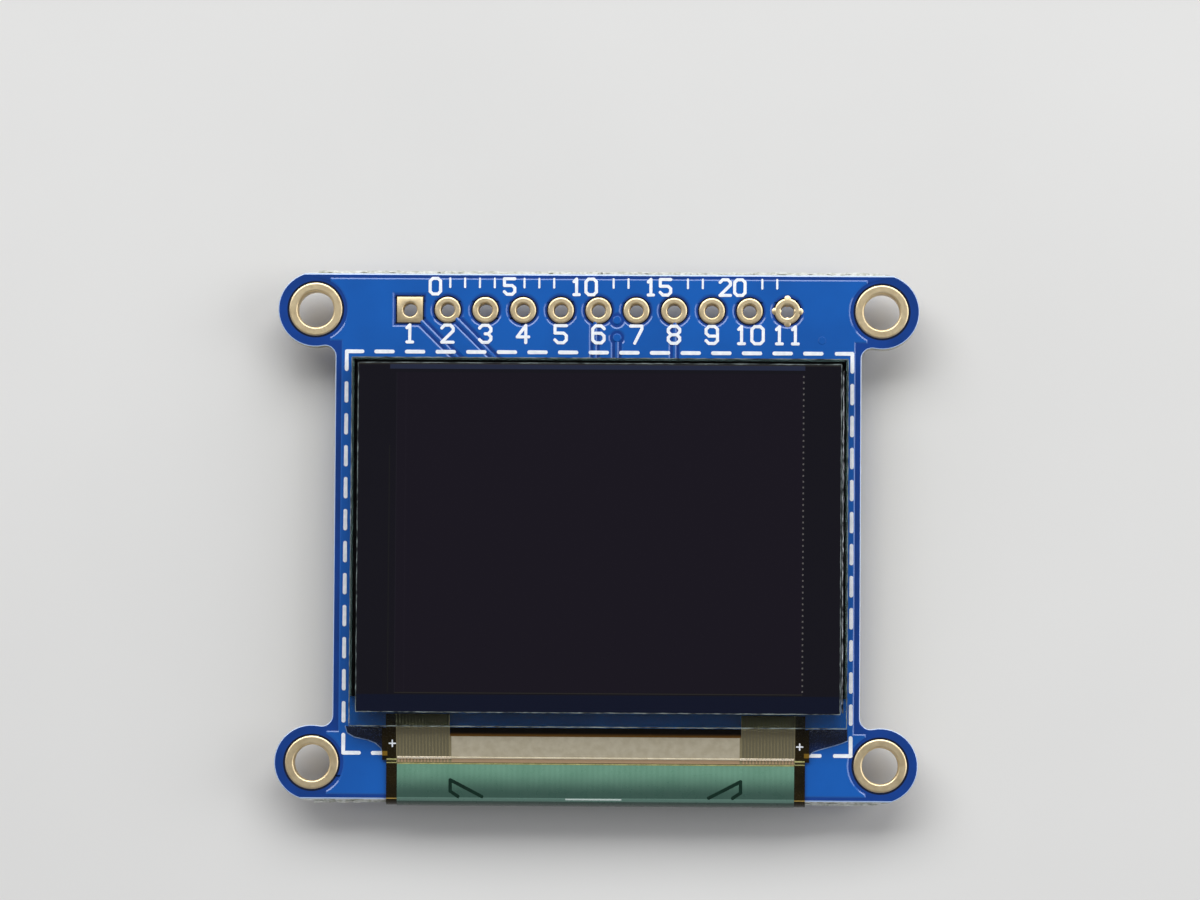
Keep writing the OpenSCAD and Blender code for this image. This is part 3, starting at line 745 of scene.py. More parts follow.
def bar(
    bm: bmesh.types.BMesh,
    start: Point,
    end: Point,
    width: float,
    z0: float,
    z1: float,
    segments: int = 18,
    top_width: float | None = None,
) -> list:
    """Adds a flat bar with round ends.

    Args:
        bm: Mesh to add to.
        start: Centre of its first end.
        end: Centre of its other end.
        width: Its width.
        z0: Height of its foot.
        z1: Height of its top.
        segments: Sides of the circle that the two ends make.
        top_width: Its width at z1, the same as at z0 if left out.

    Returns:
        The new vertices.
    """
    way = Vector(end) - Vector(start)
    top = (width if top_width is None else top_width) / 2
    made = disc(bm, (0, 0), width / 2, z0, z1, segments, top)
    ahead = [v for v in made if v.co.x > 0]
    bmesh.ops.translate(bm, vec=(way.length, 0, 0), verts=ahead)
    turn = Matrix.Rotation(math.atan2(way.y, way.x), 3, "Z")
    bmesh.ops.rotate(bm, cent=(0, 0, 0), matrix=turn, verts=made)
    bmesh.ops.translate(bm, vec=(*start, 0), verts=made)
    return made


def carve(plate: bmesh.types.BMesh, cutter: bmesh.types.BMesh) -> bmesh.types.BMesh:
    """Cuts one shape out of another.

    Args:
        plate: The shape that stays. It is freed.
        cutter: The shape that is taken out, whose parts may cross. It is freed.

    Returns:
        A new mesh with what is left.
    """
    stand_ins = []
    for shape in (plate, cutter):
        bmesh.ops.recalc_face_normals(shape, faces=shape.faces)
        mesh = bpy.data.meshes.new("carving")
        shape.to_mesh(mesh)
        shape.free()
        stand_in = bpy.data.objects.new("carving", mesh)
        bpy.context.scene.collection.objects.link(stand_in)
        stand_ins.append(stand_in)
    body, tool = stand_ins
    boolean = body.modifiers.new("cut", "BOOLEAN")
    boolean.operation, boolean.solver = "DIFFERENCE", "EXACT"
    boolean.object, boolean.use_self = tool, True
    result = bmesh.new()
    view = bpy.context.evaluated_depsgraph_get()
    result.from_mesh(body.evaluated_get(view).to_mesh())
    for stand_in in stand_ins:
        mesh = stand_in.data
        bpy.data.objects.remove(stand_in)
        bpy.data.meshes.remove(mesh)
    return result


def flare(verts: Sequence[bmesh.types.BMVert], z: float, by: float) -> None:
    """Moves the vertices at one height away from their middle along X and Y.

    Args:
        verts: Vertices of a box.
        z: The height.
        by: How far they move, or less than 0 to draw them in.
    """
    rim = [v for v in verts if abs(v.co.z - z) < 1e-5]
    middle = sum((v.co for v in rim), Vector()) / len(rim)
    for vert in rim:
        vert.co.x += by * math.copysign(1, vert.co.x - middle.x)
        vert.co.y += by * math.copysign(1, vert.co.y - middle.y)


def join(bm: bmesh.types.BMesh, other: bmesh.types.BMesh) -> None:
    """Adds one mesh to another.

    Args:
        bm: Mesh to add to.
        other: The mesh that is added. It is freed.
    """
    mesh = bpy.data.meshes.new("joining")
    other.to_mesh(mesh)
    other.free()
    bm.from_mesh(mesh)
    bpy.data.meshes.remove(mesh)


def ragged_rail(
    bm: bmesh.types.BMesh,
    start: Point,
    end: Point,
    width: float,
    heights: Point,
    rough: float,
    step: float = 0.12,
) -> None:
    """Adds a thin rail whose two sides are chipped.

    Args:
        bm: Mesh to add to.
        start: One end of its middle line, in millimetres.
        end: The other end.
        width: Its mean width.
        heights: Z of its foot and top.
        rough: How far the chips reach in or out.
        step: Length of a chip.
    """
    way = Vector(end) - Vector(start)
    rail = bmesh.new()
    block(rail, (0, -width / 2, heights[0]), (way.length, width / 2, heights[1]))
    long = [
        e for e in rail.edges
        if abs(e.verts[0].co.x - e.verts[1].co.x) > way.length / 2
    ]
    bmesh.ops.subdivide_edges(rail, edges=long, cuts=int(way.length / step))
    for vert in rail.verts:
        side = math.copysign(1, vert.co.y)
        spot = Vector((vert.co.x * 2.3 + start[0] * 3, side * 9 + start[1], vert.co.z))
        fine = Vector((vert.co.x * 9.1, side * 5 + start[1], vert.co.z * 3.0))
        vert.co.y += rough * (noise.noise(spot) + 0.7 * noise.noise(fine))
    turn = Matrix.Rotation(math.atan2(way.y, way.x), 3, "Z")
    bmesh.ops.rotate(rail, cent=(0, 0, 0), matrix=turn, verts=rail.verts)
    bmesh.ops.translate(rail, vec=(*start, 0), verts=rail.verts)
    join(bm, rail)


def rod(
    bm: bmesh.types.BMesh, x0: float, x1: float, y: float, z: float, radius: float
) -> None:
    """Adds a thin round rod along X.

    Args:
        bm: Mesh to add to.
        x0: X of one end.
        x1: X of the other end.
        y: Y of its middle line.
        z: Z of its middle line.
        radius: Its radius.
    """
    made = disc(bm, (0, 0), radius, 0, x1 - x0, 10)
    bmesh.ops.rotate(
        bm, cent=(0, 0, 0), matrix=Matrix.Rotation(math.pi / 2, 3, "Y"), verts=made
    )
    bmesh.ops.translate(bm, vec=(x0, y, z), verts=made)


def finish_piece(
    bm: bmesh.types.BMesh,
    name: str,
    finishes: Sequence[Finishes],
    slot: str,
    body: str = "module",
    crease: float = 35.0,
) -> bpy.types.Object:
    """Turns a mesh in millimetres into a finished piece that rides on a body.

    Args:
        bm: The mesh. It is freed.
        name: The piece's name.
        finishes: Its materials, in the order of the faces' material numbers.
        slot: The record's material slot; not used.
        body: The body that carries it.
        crease: Edges sharper than this, in degrees, stay sharp.

    Returns:
        The new object.
    """
    bmesh.ops.recalc_face_normals(bm, faces=bm.faces)
    bmesh.ops.scale(bm, vec=(MM,) * 3, verts=bm.verts)
    mesh = bpy.data.meshes.new(name)
    bm.to_mesh(mesh)
    bm.free()
    for finish in finishes:
        mesh.materials.append(finish.material())
    mesh.shade_smooth()
    mesh.set_sharp_from_angle(angle=math.radians(crease))
    piece = bpy.data.objects.new(name, mesh)
    bpy.context.scene.collection.objects.link(piece)
    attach(piece, body)
    LOG.info("%s: %d faces on %s", name, len(mesh.polygons), body)
    return piece


def dress(
    nodes: dict[str, bpy.types.Object],
    names: Iterable[str],
    finish: Finishes,
    ease_mm: float = 0.0,
) -> None:
    """Gives CAD nodes a finish and, where asked, eased edges.

    Args:
        nodes: The frame's nodes by name.
        names: The nodes to dress.
        finish: Their finish.
        ease_mm: Width of the bevel along their sharp edges, or 0 for none.
    """
    for name in names:
        item = nodes[name]
        if not item.data.materials:
            item.data.materials.append(None)
        for i in range(len(item.data.materials)):
            item.data.materials[i] = finish.material()
        if ease_mm:
            weld = item.modifiers.new("weld", "WELD")
            weld.merge_threshold = 1e-7
            ease = item.modifiers.new("ease", "BEVEL")
            ease.width, ease.segments = ease_mm * MM, 2
            ease.limit_method, ease.angle_limit = "ANGLE", math.radians(40)
        LOG.info("%s: %s", name, finish.value.name)


def box_mm(node: str) -> tuple[Vector, Vector]:
    """Returns a CAD node's lowest and highest corner in millimetres."""
    low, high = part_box(node)
    return low / MM, high / MM


def feet_of(item: bpy.types.Object, reach: float = 0.03) -> list[tuple[Vector, Vector]]:
    """Finds where each separate solid of a rear node stands on the board.

    Args:
        item: The node's object.
        reach: How near to the board's rear face a foot lies, in millimetres.

    Returns:
        The lowest and highest corner of each foot, in millimetres.
    """
    bm = bmesh.new()
    bm.from_mesh(item.data)
    bmesh.ops.remove_doubles(bm, verts=bm.verts, dist=1e-7)
    feet, left = [], set(bm.verts)
    while left:
        queue, solid = [left.pop()], []
        while queue:
            vert = queue.pop()
            solid.append(vert.co / MM)
            near = {e.other_vert(vert) for e in vert.link_edges} & left
            left -= near
            queue.extend(near)
        foot = [co for co in solid if co.z > -reach]
        if foot:
            feet.append((Vector(map(min, *foot)), Vector(map(max, *foot))))
    bm.free()
    return sorted(feet, key=lambda corners: tuple(corners[0]))


# ----------------------------------------------------------------- solder and parts


@dataclass(frozen=True)
class Joint:
    """Solder that climbs from the board's rear face to a foot or a plated end.

    Attributes:
        low: Lowest corner of what is soldered, in millimetres.
        high: Its highest corner.
        spread: How far the solder reaches beyond it along X and Y.
        climb: How high the solder climbs.
    """

    low: Point
    high: Point
    spread: Point = (0.12, 0.12)
    climb: float = 0.12

    def build(self, face: Face = Face.REAR) -> bmesh.types.BMesh:
        """Builds a hollow-cheeked mound of solder round the foot.

        Args:
            face: The board's face that it stands on.

        Returns:
            A new mesh with the mound.
        """
        low, high = Vector(self.low), Vector(self.high)
        half, centre = (high - low) / 2, (low + high) / 2
        lap = 0.01
        bm = bmesh.new()
        bmesh.ops.create_cube(bm, size=1.0)
        uprights = [e for e in bm.edges if abs(e.verts[0].co.z - e.verts[1].co.z) > 0.5]
        bmesh.ops.subdivide_edges(bm, edges=uprights, cuts=3)
        for vert in bm.verts:
            level = vert.co.z + 0.5
            swell = (1 - level) ** 2
            x, y = (half[i] + lap + self.spread[i] * swell for i in (0, 1))
            vert.co = (
                centre.x + math.copysign(x, vert.co.x),
                centre.y + math.copysign(y, vert.co.y),
                face.height(level * self.climb),
            )
        corners = [e for e in bm.edges if abs(e.verts[0].co.z - e.verts[1].co.z) > 1e-4]
        bmesh.ops.bevel(
            bm, geom=corners, offset=min(self.spread) * 0.4, segments=2, profile=0.5,
            affect="EDGES", material=-1, clamp_overlap=True,
        )
        return bm

    def clearance(self, gap: float) -> tuple[Point, Point]:
        """Works out the bare gap that the foil keeps round the pad.

        Args:
            gap: Width of the gap, in millimetres.

        Returns:
            The lower left and upper right corner of the gap's outline.
        """
        grown = Vector(self.spread) + Vector((gap, gap))
        return tuple(Vector(self.low) - grown), tuple(Vector(self.high) + grown)


@dataclass
class ChipPart:
    """A two-ended ceramic chip part with plated ends.

    Attributes:
        node: The CAD node that it stands for.
        kind: Finish of its body.
        cap: Finish of a thin layer on its top, or none.
        end: Length of a plated end, in millimetres.
        skin: How far the body's sides lie inside those of the ends.
        lap: How far the body reaches into the ends.
        cap_z: The thin layer's foot and top, from the body's own top.
        rounding: Radius of the ends' edges.
        spread: How far solder reaches beyond the sides and beyond the ends.
        climb: The share of the part's height that solder climbs.
    """

    node: str
    kind: Finishes
    cap: Finishes | None = None
    end: float = 0.35
    skin: float = 0.025
    lap: float = 0.05
    cap_z: Point = (0.02, -0.015)
    rounding: float = 0.07
    spread: Point = (0.05, 0.34)
    climb: float = 0.55

    def _frame(self) -> tuple[Vector, Vector, int]:
        """Measures the part's node.

        Returns:
            Its lowest and highest corner in millimetres, and the axis of its length.
        """
        low, high = box_mm(self.node)
        size = high - low
        return low, high, 0 if size.x > size.y else 1

    def _ends(self) -> list[tuple[Vector, Vector]]:
        """Works out the boxes of the two plated ends.

        Returns:
            The lowest and highest corner of each.
        """
        low, high, axis = self._frame()
        first_high, last_low = high.copy(), low.copy()
        first_high[axis] = low[axis] + self.end
        last_low[axis] = high[axis] - self.end
        return [(low, first_high), (last_low, high)]

    def build(self) -> bpy.types.Object:
        """Builds the body and its two plated ends.

        Returns:
            The finished part, which stands for its node.
        """
        low, high, axis = self._frame()
        inset = Vector((self.skin,) * 3)
        inset[axis] = self.end - self.lap
        low, high = low + inset, high - inset
        bm = bmesh.new()
        block(bm, low, high)
        if self.cap:
            foot, top = self.cap_z
            for glazed in block(bm, (*low.xy, low.z + top), (*high.xy, low.z + foot)):
                for face in glazed.link_faces:
                    face.material_index = 2
        for end_low, end_high in self._ends():
            verts = block(bm, end_low, end_high)
            for face in {f for v in verts for f in v.link_faces}:
                face.material_index = 1
            bmesh.ops.bevel(
                bm, geom=list(dict.fromkeys(e for v in verts for e in v.link_edges)),
                offset=self.rounding, segments=3, profile=0.5, affect="EDGES",
                material=-1, clamp_overlap=True,
            )
        finishes = [self.kind, Finishes.TIN] + ([self.cap] if self.cap else [])
        slot = "capacitor_ceramic" if self.node.startswith("cap") else "resistor_ceramic"
        piece = finish_piece(bm, f"{self.node}_ceramic", finishes, slot)
        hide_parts(self.node)
        return piece

    def joints(self) -> list[Joint]:
        """Works out the solder at its two ends.

        Returns:
            One joint for each end.
        """
        low, high, axis = self._frame()
        spread = self.spread if axis else self.spread[::-1]
        climb = (high.z - low.z) * self.climb
        return [
            Joint(tuple(end_low.xy), tuple(end_high.xy), spread, climb)
            for end_low, end_high in self._ends()
        ]


@dataclass
class Electronics:
    """Chips, passive parts and their solder on the rear face.

    Attributes:
        nodes: The frame's nodes by name.
        joints: The solder that its parts need.
    """

    nodes: dict[str, bpy.types.Object]
    joints: list[Joint] = field(default_factory=list)

    def _soldered(self, node: str, spread: Point, climb: float) -> None:
        """Notes a joint round each foot of a node.

        Args:
            node: The node's name.
            spread: How far the solder reaches along X and Y, in millimetres.
            climb: How high it climbs.
        """
        for low, high in feet_of(self.nodes[node]):
            self.joints.append(Joint(tuple(low.xy), tuple(high.xy), spread, climb))

    def build(self) -> None:
        """Dresses the chips and builds the ceramic parts."""
        bodies = [n for n in self.nodes if n.endswith("_body")]
        dress(self.nodes, bodies, Finishes.EPOXY, ease_mm=0.03)
        leads = [n for n in self.nodes if n.endswith("_leads")]
        dress(self.nodes, leads + ["inductor_terminals"], Finishes.TIN)
        dress(self.nodes, ["inductor_core"], Finishes.FERRITE, ease_mm=0.05)
        for node in leads:
            lengthwise = node in ("level_shifter_leads", "transistor_leads", "diode_leads")
            spread = (0.22, 0.05) if lengthwise else (0.05, 0.22)
            self._soldered(node, spread, 0.14)
        self._soldered("inductor_terminals", (0.25, 0.1), 0.35)
        for node in sorted(self.nodes):
            if node.startswith("capacitor"):
                part = ChipPart(node, Finishes.CAPACITOR)
            elif node.startswith("resistor"):
                part = ChipPart(node, Finishes.ALUMINA, Finishes.GLAZE)
            else:
                continue
            part.build()
            self.joints += part.joints()


@dataclass
class CardSocket:
    """Push-pull memory card socket with a stamped shell.

    Attributes:
        nodes: The frame's nodes by name.
        feet_x: Where its solder feet start along X, in millimetres.
        foot: Length and width of a solder foot.
        contact_foot: Length of a contact's foot.
        joints: The solder that it needs.
    """

    nodes: dict[str, bpy.types.Object]
    feet_x: Point = (4.8, 14.0)
    foot: Point = (1.6, 0.7)
    contact_foot: float = 0.9
    joints: list[Joint] = field(default_factory=list)

    def build(self) -> None:
        """Dresses the shell, the base and the contacts, and notes their solder."""
        dress(self.nodes, ["card_socket_shell"], Finishes.STEEL, ease_mm=0.03)
        dress(self.nodes, ["card_socket_base"], Finishes.BLACK_PLASTIC, ease_mm=0.03)
        contacts = ["card_socket_contacts", "card_detect_spring"]
        dress(self.nodes, contacts, Finishes.CONTACT)
        low, high = box_mm("card_socket_shell")
        for x in self.feet_x:
            for y0, y1 in ((low.y, low.y + self.foot[1]), (high.y - self.foot[1], high.y)):
                corners = (x, y0), (x + self.foot[0], y1)
                self.joints.append(Joint(*corners, (0.2, 0.25), 0.2))
        for low, high in feet_of(self.nodes["card_socket_contacts"]):
            foot = (low.x, low.y), (low.x + self.contact_foot, high.y)
            self.joints.append(Joint(*foot, (0.2, 0.04), 0.13))


@dataclass
class FlexSocket:
    """Flip-latch socket that takes the flex's contact end.

    Attributes:
        nodes: The frame's nodes by name.
        contact_foot: Length of a contact's foot, in millimetres.
        joints: The solder that it needs.
    """

    nodes: dict[str, bpy.types.Object]
    contact_foot: float = 0.6
    joints: list[Joint] = field(default_factory=list)

    def build(self) -> None:
        """Dresses the housing, latch, contacts and anchors, and notes their solder."""
        dress(self.nodes, ["flex_socket_housing"], Finishes.HOUSING, ease_mm=0.03)
        dress(self.nodes, ["flex_socket_latch"], Finishes.LATCH, ease_mm=0.03)
        dress(self.nodes, ["flex_socket_contacts"], Finishes.CONTACT)
        dress(self.nodes, ["flex_socket_anchors"], Finishes.TIN, ease_mm=0.02)
        for low, high in feet_of(self.nodes["flex_socket_contacts"]):
            foot = (low.x, low.y), (high.x, low.y + self.contact_foot)
            self.joints.append(Joint(*foot, (0.03, 0.25), 0.14))
        for low, high in feet_of(self.nodes["flex_socket_anchors"]):
            self.joints.append(Joint(tuple(low.xy), tuple(high.xy), (0.12, 0.15), 0.25))


# ---------------------------------------------------------------------------- board


@dataclass(frozen=True)
class Trace:
    """A conductor with round bends.

    Attributes:
        points: Its ends and bends, in millimetres.
        width: Its width.
    """

    points: list[Point]
    width: float = 0.25


@dataclass(frozen=True)
class Artwork:
    """What is etched on one face of the board.

    Attributes:
        traces: The conductors.
        lone_vias: Plated through-joints with a bare ring.
        stitching_vias: Plated through-joints inside the flooded foil.
    """

    traces: list[Trace]
    lone_vias: list[Point]
    stitching_vias: list[Point]


@dataclass
class Etching:
    """Shapes with leaning flanks: bare gaps that are cut, or conductors that are laid.

    Attributes:
        face: The board's face.
        below: How far the shapes reach under the laminate's surface, in millimetres.
        above: How far they reach above it.
        lean: How much wider they grow with each millimetre of height, on each side.
        bm: The mesh that they are added to.
        hair: Step in height between neighbours, so that no two faces coincide.
        levels: Number of such steps before they start again.
        drawn: Shapes so far.
    """

    face: Face
    below: float
    above: float
    lean: float
    bm: bmesh.types.BMesh = field(default_factory=bmesh.new)
    hair: float = 0.0003
    levels: int = 13
    drawn: int = 0

    def heights(self) -> Point:
        """Works out the next shape's place along Z.

        Returns:
            The Z of its foot and of its head.
        """
        self.drawn += 1
        step = self.hair * (self.drawn % self.levels)
        return self.face.height(-self.below - step), self.face.height(self.above + step)

    def widths(self, width: float, sides: int = 1) -> Point:
        """Returns a width at the foot and at the head, which lean on `sides` sides."""
        foot = width - sides * self.below * self.lean
        return foot, width + sides * self.above * self.lean

    def spot(self, centre: Point, radius: float, segments: int) -> None:
        """Adds a round shape.

        Args:
            centre: Its axis, in millimetres.
            radius: Its radius at the laminate.
            segments: Its sides.
        """
        foot, head = self.widths(radius)
        disc(self.bm, centre, foot, *self.heights(), segments, top_radius=head)

    def pad(self, low: Point, high: Point, by: float) -> None:
        """Adds a rectangular shape.

        Args:
            low: Its lower left corner at its foot, in millimetres.
            high: Its upper right corner there.
            by: How far each side leans outwards, up to its head.
        """
        foot, head = self.heights()
        flare(block(self.bm, (*low, foot), (*high, head)), head, by)

    def run(self, points: Sequence[Point], width: float) -> None:
        """Adds a line with round ends and bends.

        Args:
            points: Its ends and bends, in millimetres.
            width: Its width at the laminate.
        """
        foot, head = self.widths(width, sides=2)
        for start, end in zip(points, points[1:]):
            bar(self.bm, start, end, foot, *self.heights(), top_width=head)


@dataclass
class Board:
    """Double-sided board: foil relief under the mask, printed marks and cut edges.

    Attributes:
        nodes: The frame's nodes by name.
        joints: The solder on its rear face.
        waist_x: Half the width of the foil between the ears, in millimetres.
        ear_x: Half the width of the foil at the ears.
        ear_y: Where the foil widens towards the ears.
        edge_y: Half the height of the foil.
        foil: Height of the foil under the mask.
        slope: Width over which the mask runs down from the foil to the laminate.
        ring_keep: Radius of the bare ring round a mounting hole.
        pad_keep: Radius of the bare ring round a header hole.
        trace_gap: Bare gap along a trace.
        pad_gap: Bare gap round the solder of a surface pad.
        via_keep: Radius of the bare ring round a lone through-joint.
        ink: Height of the printed ink above the laminate.
        ink_w: Width of a printed line.
        header_y: Y of the header holes.
        pitch: Their spacing.
        holes: Their number.
        mounts: The mounting hole of the first quarter.
        snap_y: Distance of the snapped edges from the middle.
    """

    nodes: dict[str, bpy.types.Object]
    joints: list[Joint]
    waist_x: float = 17.3
    ear_x: float = 18.1
    ear_y: float = 13.1
    edge_y: float = 17.38
    foil: float = 0.035
    slope: float = 0.1
    ring_keep: float = 2.13
    pad_keep: float = 1.07
    trace_gap: float = 0.2
    pad_gap: float = 0.1
    via_keep: float = 0.48
    ink: float = 0.055
    ink_w: float = 0.26
    header_y: float = 15.24
    pitch: float = 2.54
    holes: int = 11
    mounts: Point = (19.05, 15.24)
    snap_y: float = 17.78

    def corners(self) -> list[Point]:
        """Returns the places of the four mounting holes."""
        return [(x * self.mounts[0], y * self.mounts[1]) for x in (-1, 1) for y in (-1, 1)]

    def header_x(self, number: int) -> float:
        """Returns the X of a header hole, whose numbers start at 1."""
        return (number - 1 - (self.holes - 1) / 2) * self.pitch

    def front_artwork(self) -> Artwork:
        """Draws the traces and vias that show between the header and the panel.

        Returns:
            The front face's artwork.
        """
        y, low = self.header_y, 11.6
        one, two, six, eight = (self.header_x(n) for n in (1, 2, 6, 8))
        return Artwork(
            [
                Trace([(one + 0.7, y - 0.7), (one + 0.7 + y - 0.7 - low, low)]),
                Trace([(two + 0.5, y - 0.5), (two + 0.5 + y - 0.5 - low, low)]),
                Trace([(six - 0.22, y - 0.7), (six - 0.22, low)]),
                Trace([(eight + 0.05, y - 0.7), (eight + 0.05, low)]),
                Trace([(1.25, 13.4), (1.25, low)]),
            ],
            [(1.24, 14.58), (1.25, 13.4)],
            [(15.03, 13.28)],
        )

    def rear_artwork(self) -> Artwork:
        """Draws the rear face's traces and vias: logic, panel and supply lines.

        Returns:
            The rear face's artwork.
        """
        header = self.header_x
        logic = [
            [(-6.5, 10.6), (-6.5, 13.4), (header(4), 14.5)],
            [(-6.9, 9.72), (-7.2, 10.02), (-7.2, 13.7), (header(3), 14.6)],
            [(-6.9, 9.07), (-9.07, 9.07), (-9.5, 9.5), (-9.5, 13.5), (header(2), 14.6)],
            [(-6.9, 8.42), (-7.3, 8.42)],
            [(0.1, 10.37), (0.6, 10.87), (0.6, 12.6), (0, 13.2), (0, 14.5)],
            [(0.1, 9.72), (1.2, 10.82), (1.2, 12.9), (header(7), 14.6)],
            [(0.1, 9.07), (1.8, 10.77), (1.8, 12.1), (header(8), 14.5)],
            [(0.1, 8.42), (0.22, 8.55), (1.7, 8.55)],
            [(0.1, 7.77), (0.42, 7.45), (1.7, 7.45)],
            [(0.1, 7.12), (0.87, 6.35), (1.7, 6.35)],
            [(0.1, 6.47), (1.32, 5.25), (1.7, 5.25)],
            [(0.1, 5.82), (1.0, 4.92), (1.0, 4.75), (1.7, 4.15)],
            [(-0.1, 2.2), (0.75, 3.05), (1.7, 3.05)],
            [(-0.1, 0.7), (0.35, 0.7), (1.6, 1.95)],
            [(-0.1, 3.7), (0.4, 3.7)],
            [(-2.4, 3.7), (-3.4, 4.7), (-3.4, 5.2)],
            [(-2.4, 2.2), (-4.3, 4.1), (-4.3, 5.2)],
        ]
        panel = [
            [(-7.25, -2.6), (-7.25, -2.35), (-8.6, -1.0)],
            [(-6.75, -2.6), (-6.75, -1.45), (-8.6, 0.4)],
            [(-6.25, -2.6), (-6.25, 0.1)],
            [(-5.75, -2.6), (-5.75, -1.9)],
            [(-4.75, -2.6), (-4.75, -1.9), (-4.1, -1.25), (-4.1, -0.9)],
            [(-4.25, -2.6), (-4.25, -2.35), (-2.9, -1.0), (-2.9, 0.1), (-2.3, 0.7)],
            [(-3.75, -2.6), (-2.35, -1.15), (-2.3, -0.8)],
            [(-2.75, -2.6), (-2.75, -2.0)],
            [(-1.75, -2.6), (-1.75, -1.9)],
            [(-0.25, -2.6), (-0.25, -1.1)],
            [(0.25, -2.6), (0.25, -0.6), (1.2, 0.35)],
            [(0.75, -2.6), (0.75, -1.6), (1.9, -0.45)],
            [(1.75, -2.6), (1.75, -2.0)],
            [(2.75, -2.6), (2.75, 1.0)],
            [(3.25, -2.6), (3.25, 1.0)],
            [(3.75, -2.6), (3.75, 1.0)],
            [(5.25, -2.6), (5.25, 0.5)],
            [(5.75, -2.6), (5.75, 0.5)],
            [(7.25, -2.6), (7.55, -2.3), (11.4, -2.3), (12.9, -3.8)],
            [(-14.2, -3.7), (-14.2, -3.0), (-12.2, -1.0), (-10.8, -1.0)],
            [(-16.1, -4.0), (-16.1, 0.4), (-15.5, 1.0)],
            [(15.0, -4.0), (15.0, -3.2), (16.0, -2.2)],
        ]
        supply = [
            [(-12.0, 7.0), (-11.4, 6.4), (-10.3, 5.3)],
            [(-8.0, 3.3), (-8.35, 3.65), (-8.35, 5.0)],
            [(-11.6, 2.9), (-12.0, 3.2), (-13.1, 3.2)],
            [(-15.3, 8.4), (-15.3, 9.8)],
            [(-12.75, 12.9), (-12.95, 13.1), (-14.7, 13.1), (-15.2, 12.6)],
            [(-10.4, 7.9), (-11.6, 9.1), (-11.8, 9.6)],
            [(-16.1, 3.2), (-16.1, 6.4)],
        ]
        traces = [Trace(points) for points in logic + panel]
        traces += [Trace(points, 0.5) for points in supply]
        lone = [(-7.3, 8.42), (0.4, 3.7), (-5.75, -1.9), (-2.75, -1.9), (-1.75, -1.7),
                (1.75, -1.9), (1.2, 0.35)]
        stitching = [
            (-16.7, 13.0), (-16.7, -2.0), (-16.5, -8.6), (16.5, -8.8), (16.4, -1.4),
            (-6.9, 4.6), (-12.2, -8.6), (12.2, -8.6), (-7.0, 2.0), (-4.4, 13.0),
            (2.4, 0.0), (-11.9, -5.4), (14.2, -8.2), (-14.6, -9.6), (-3.2, 2.0),
            (-12.2, 4.6), (-16.6, 9.2), (16.4, 14.0), (-6.7, 5.0), (-11.6, 13.6),
        ]
        return Artwork(traces, lone, stitching)

    def _plate(self, face: Face) -> bmesh.types.BMesh:
        """Builds the foil's outline, which widens towards the ears and has sloping rims.

        Args:
            face: The board's face that it lies on.

        Returns:
            A new mesh with the uncut foil.
        """
        bm = bmesh.new()
        bmesh.ops.create_grid(bm, x_segments=3, y_segments=3, size=1.5)
        for vert in bm.verts:
            x = self.waist_x if abs(vert.co.x) < 1 else self.ear_x
            y = self.ear_y if abs(vert.co.y) < 1 else self.edge_y
            vert.co.x, vert.co.y = math.copysign(x, vert.co.x), math.copysign(y, vert.co.y)
        sides = [
            f for f in bm.faces
            if abs(f.calc_center_median().x) > self.waist_x
            and abs(f.calc_center_median().y) < 1
        ]
        bmesh.ops.delete(bm, geom=sides, context="FACES")
        bmesh.ops.dissolve_faces(bm, faces=bm.faces[:])
        base, top = face.height(-0.01), face.height(self.foil)
        for vert in bm.verts:
            vert.co.z = base
        lifted = bmesh.ops.extrude_face_region(bm, geom=bm.faces[:], use_keep_orig=True)
        for vert in [v for v in lifted["geom"] if isinstance(v, bmesh.types.BMVert)]:
            outwards = -1 if abs(vert.co.y) < self.ear_y + 0.1 else 1
            vert.co.x -= math.copysign(self.slope, vert.co.x)
            vert.co.y -= outwards * math.copysign(self.slope, vert.co.y)
            vert.co.z = top
        return bm

    def _gaps(self, face: Face, artwork: Artwork) -> bmesh.types.BMesh:
        """Builds what is etched away round the holes, pads, traces and vias.

        Args:
            face: The board's face.
            artwork: Its traces and vias.

        Returns:
            A new mesh of crossing shapes, whose flanks lean outwards.
        """
        gaps = Etching(face, below=0.02, above=0.06, lean=self.slope / self.foil)
        for at in self.corners():
            gaps.spot(at, self.ring_keep, 64)
        for number in range(2, self.holes + 1):
            gaps.spot((self.header_x(number), self.header_y), self.pad_keep, 40)
        x, y, (keep, wide) = self.header_x(1), self.header_y, gaps.widths(self.pad_keep)
        gaps.pad((x - keep, y - keep), (x + keep, y + keep), wide - keep)
        if face is Face.REAR:
            for joint in self.joints:
                gaps.pad(*joint.clearance(self.pad_gap), self.slope)
        for at in artwork.lone_vias:
            gaps.spot(at, self.via_keep, 24)
        for trace in artwork.traces:
            gaps.run(trace.points, trace.width + 2 * self.trace_gap)
        return gaps.bm

    def _foil(self, face: Face, artwork: Artwork) -> None:
        """Builds one face's foil: the flooded area, its bare gaps and its traces.

        Args:
            face: The board's face.
            artwork: Its traces and vias.
        """
        plate = carve(self._plate(face), self._gaps(face, artwork))
        laid = Etching(face, 0.01, self.foil, lean=-self.slope / self.foil, bm=plate)
        for trace in artwork.traces:
            laid.run(trace.points, trace.width)
        for at in artwork.lone_vias:
            laid.spot(at, 0.3, 24)
        # each plated through-joint is a low cone with a small plug in it
        foot, rim = face.height(-0.01), self.foil + 0.02
        for at in artwork.lone_vias + artwork.stitching_vias:
            disc(plate, at, 0.31, foot, face.height(rim), 24, top_radius=0.24)
            disc(plate, at, 0.1, foot, face.height(rim + 0.001), 12)
        name = f"{face.name.lower()}_foil_under_mask"
        finish_piece(plate, name, [Finishes.COPPER_UNDER_MASK], "board", crease=15)

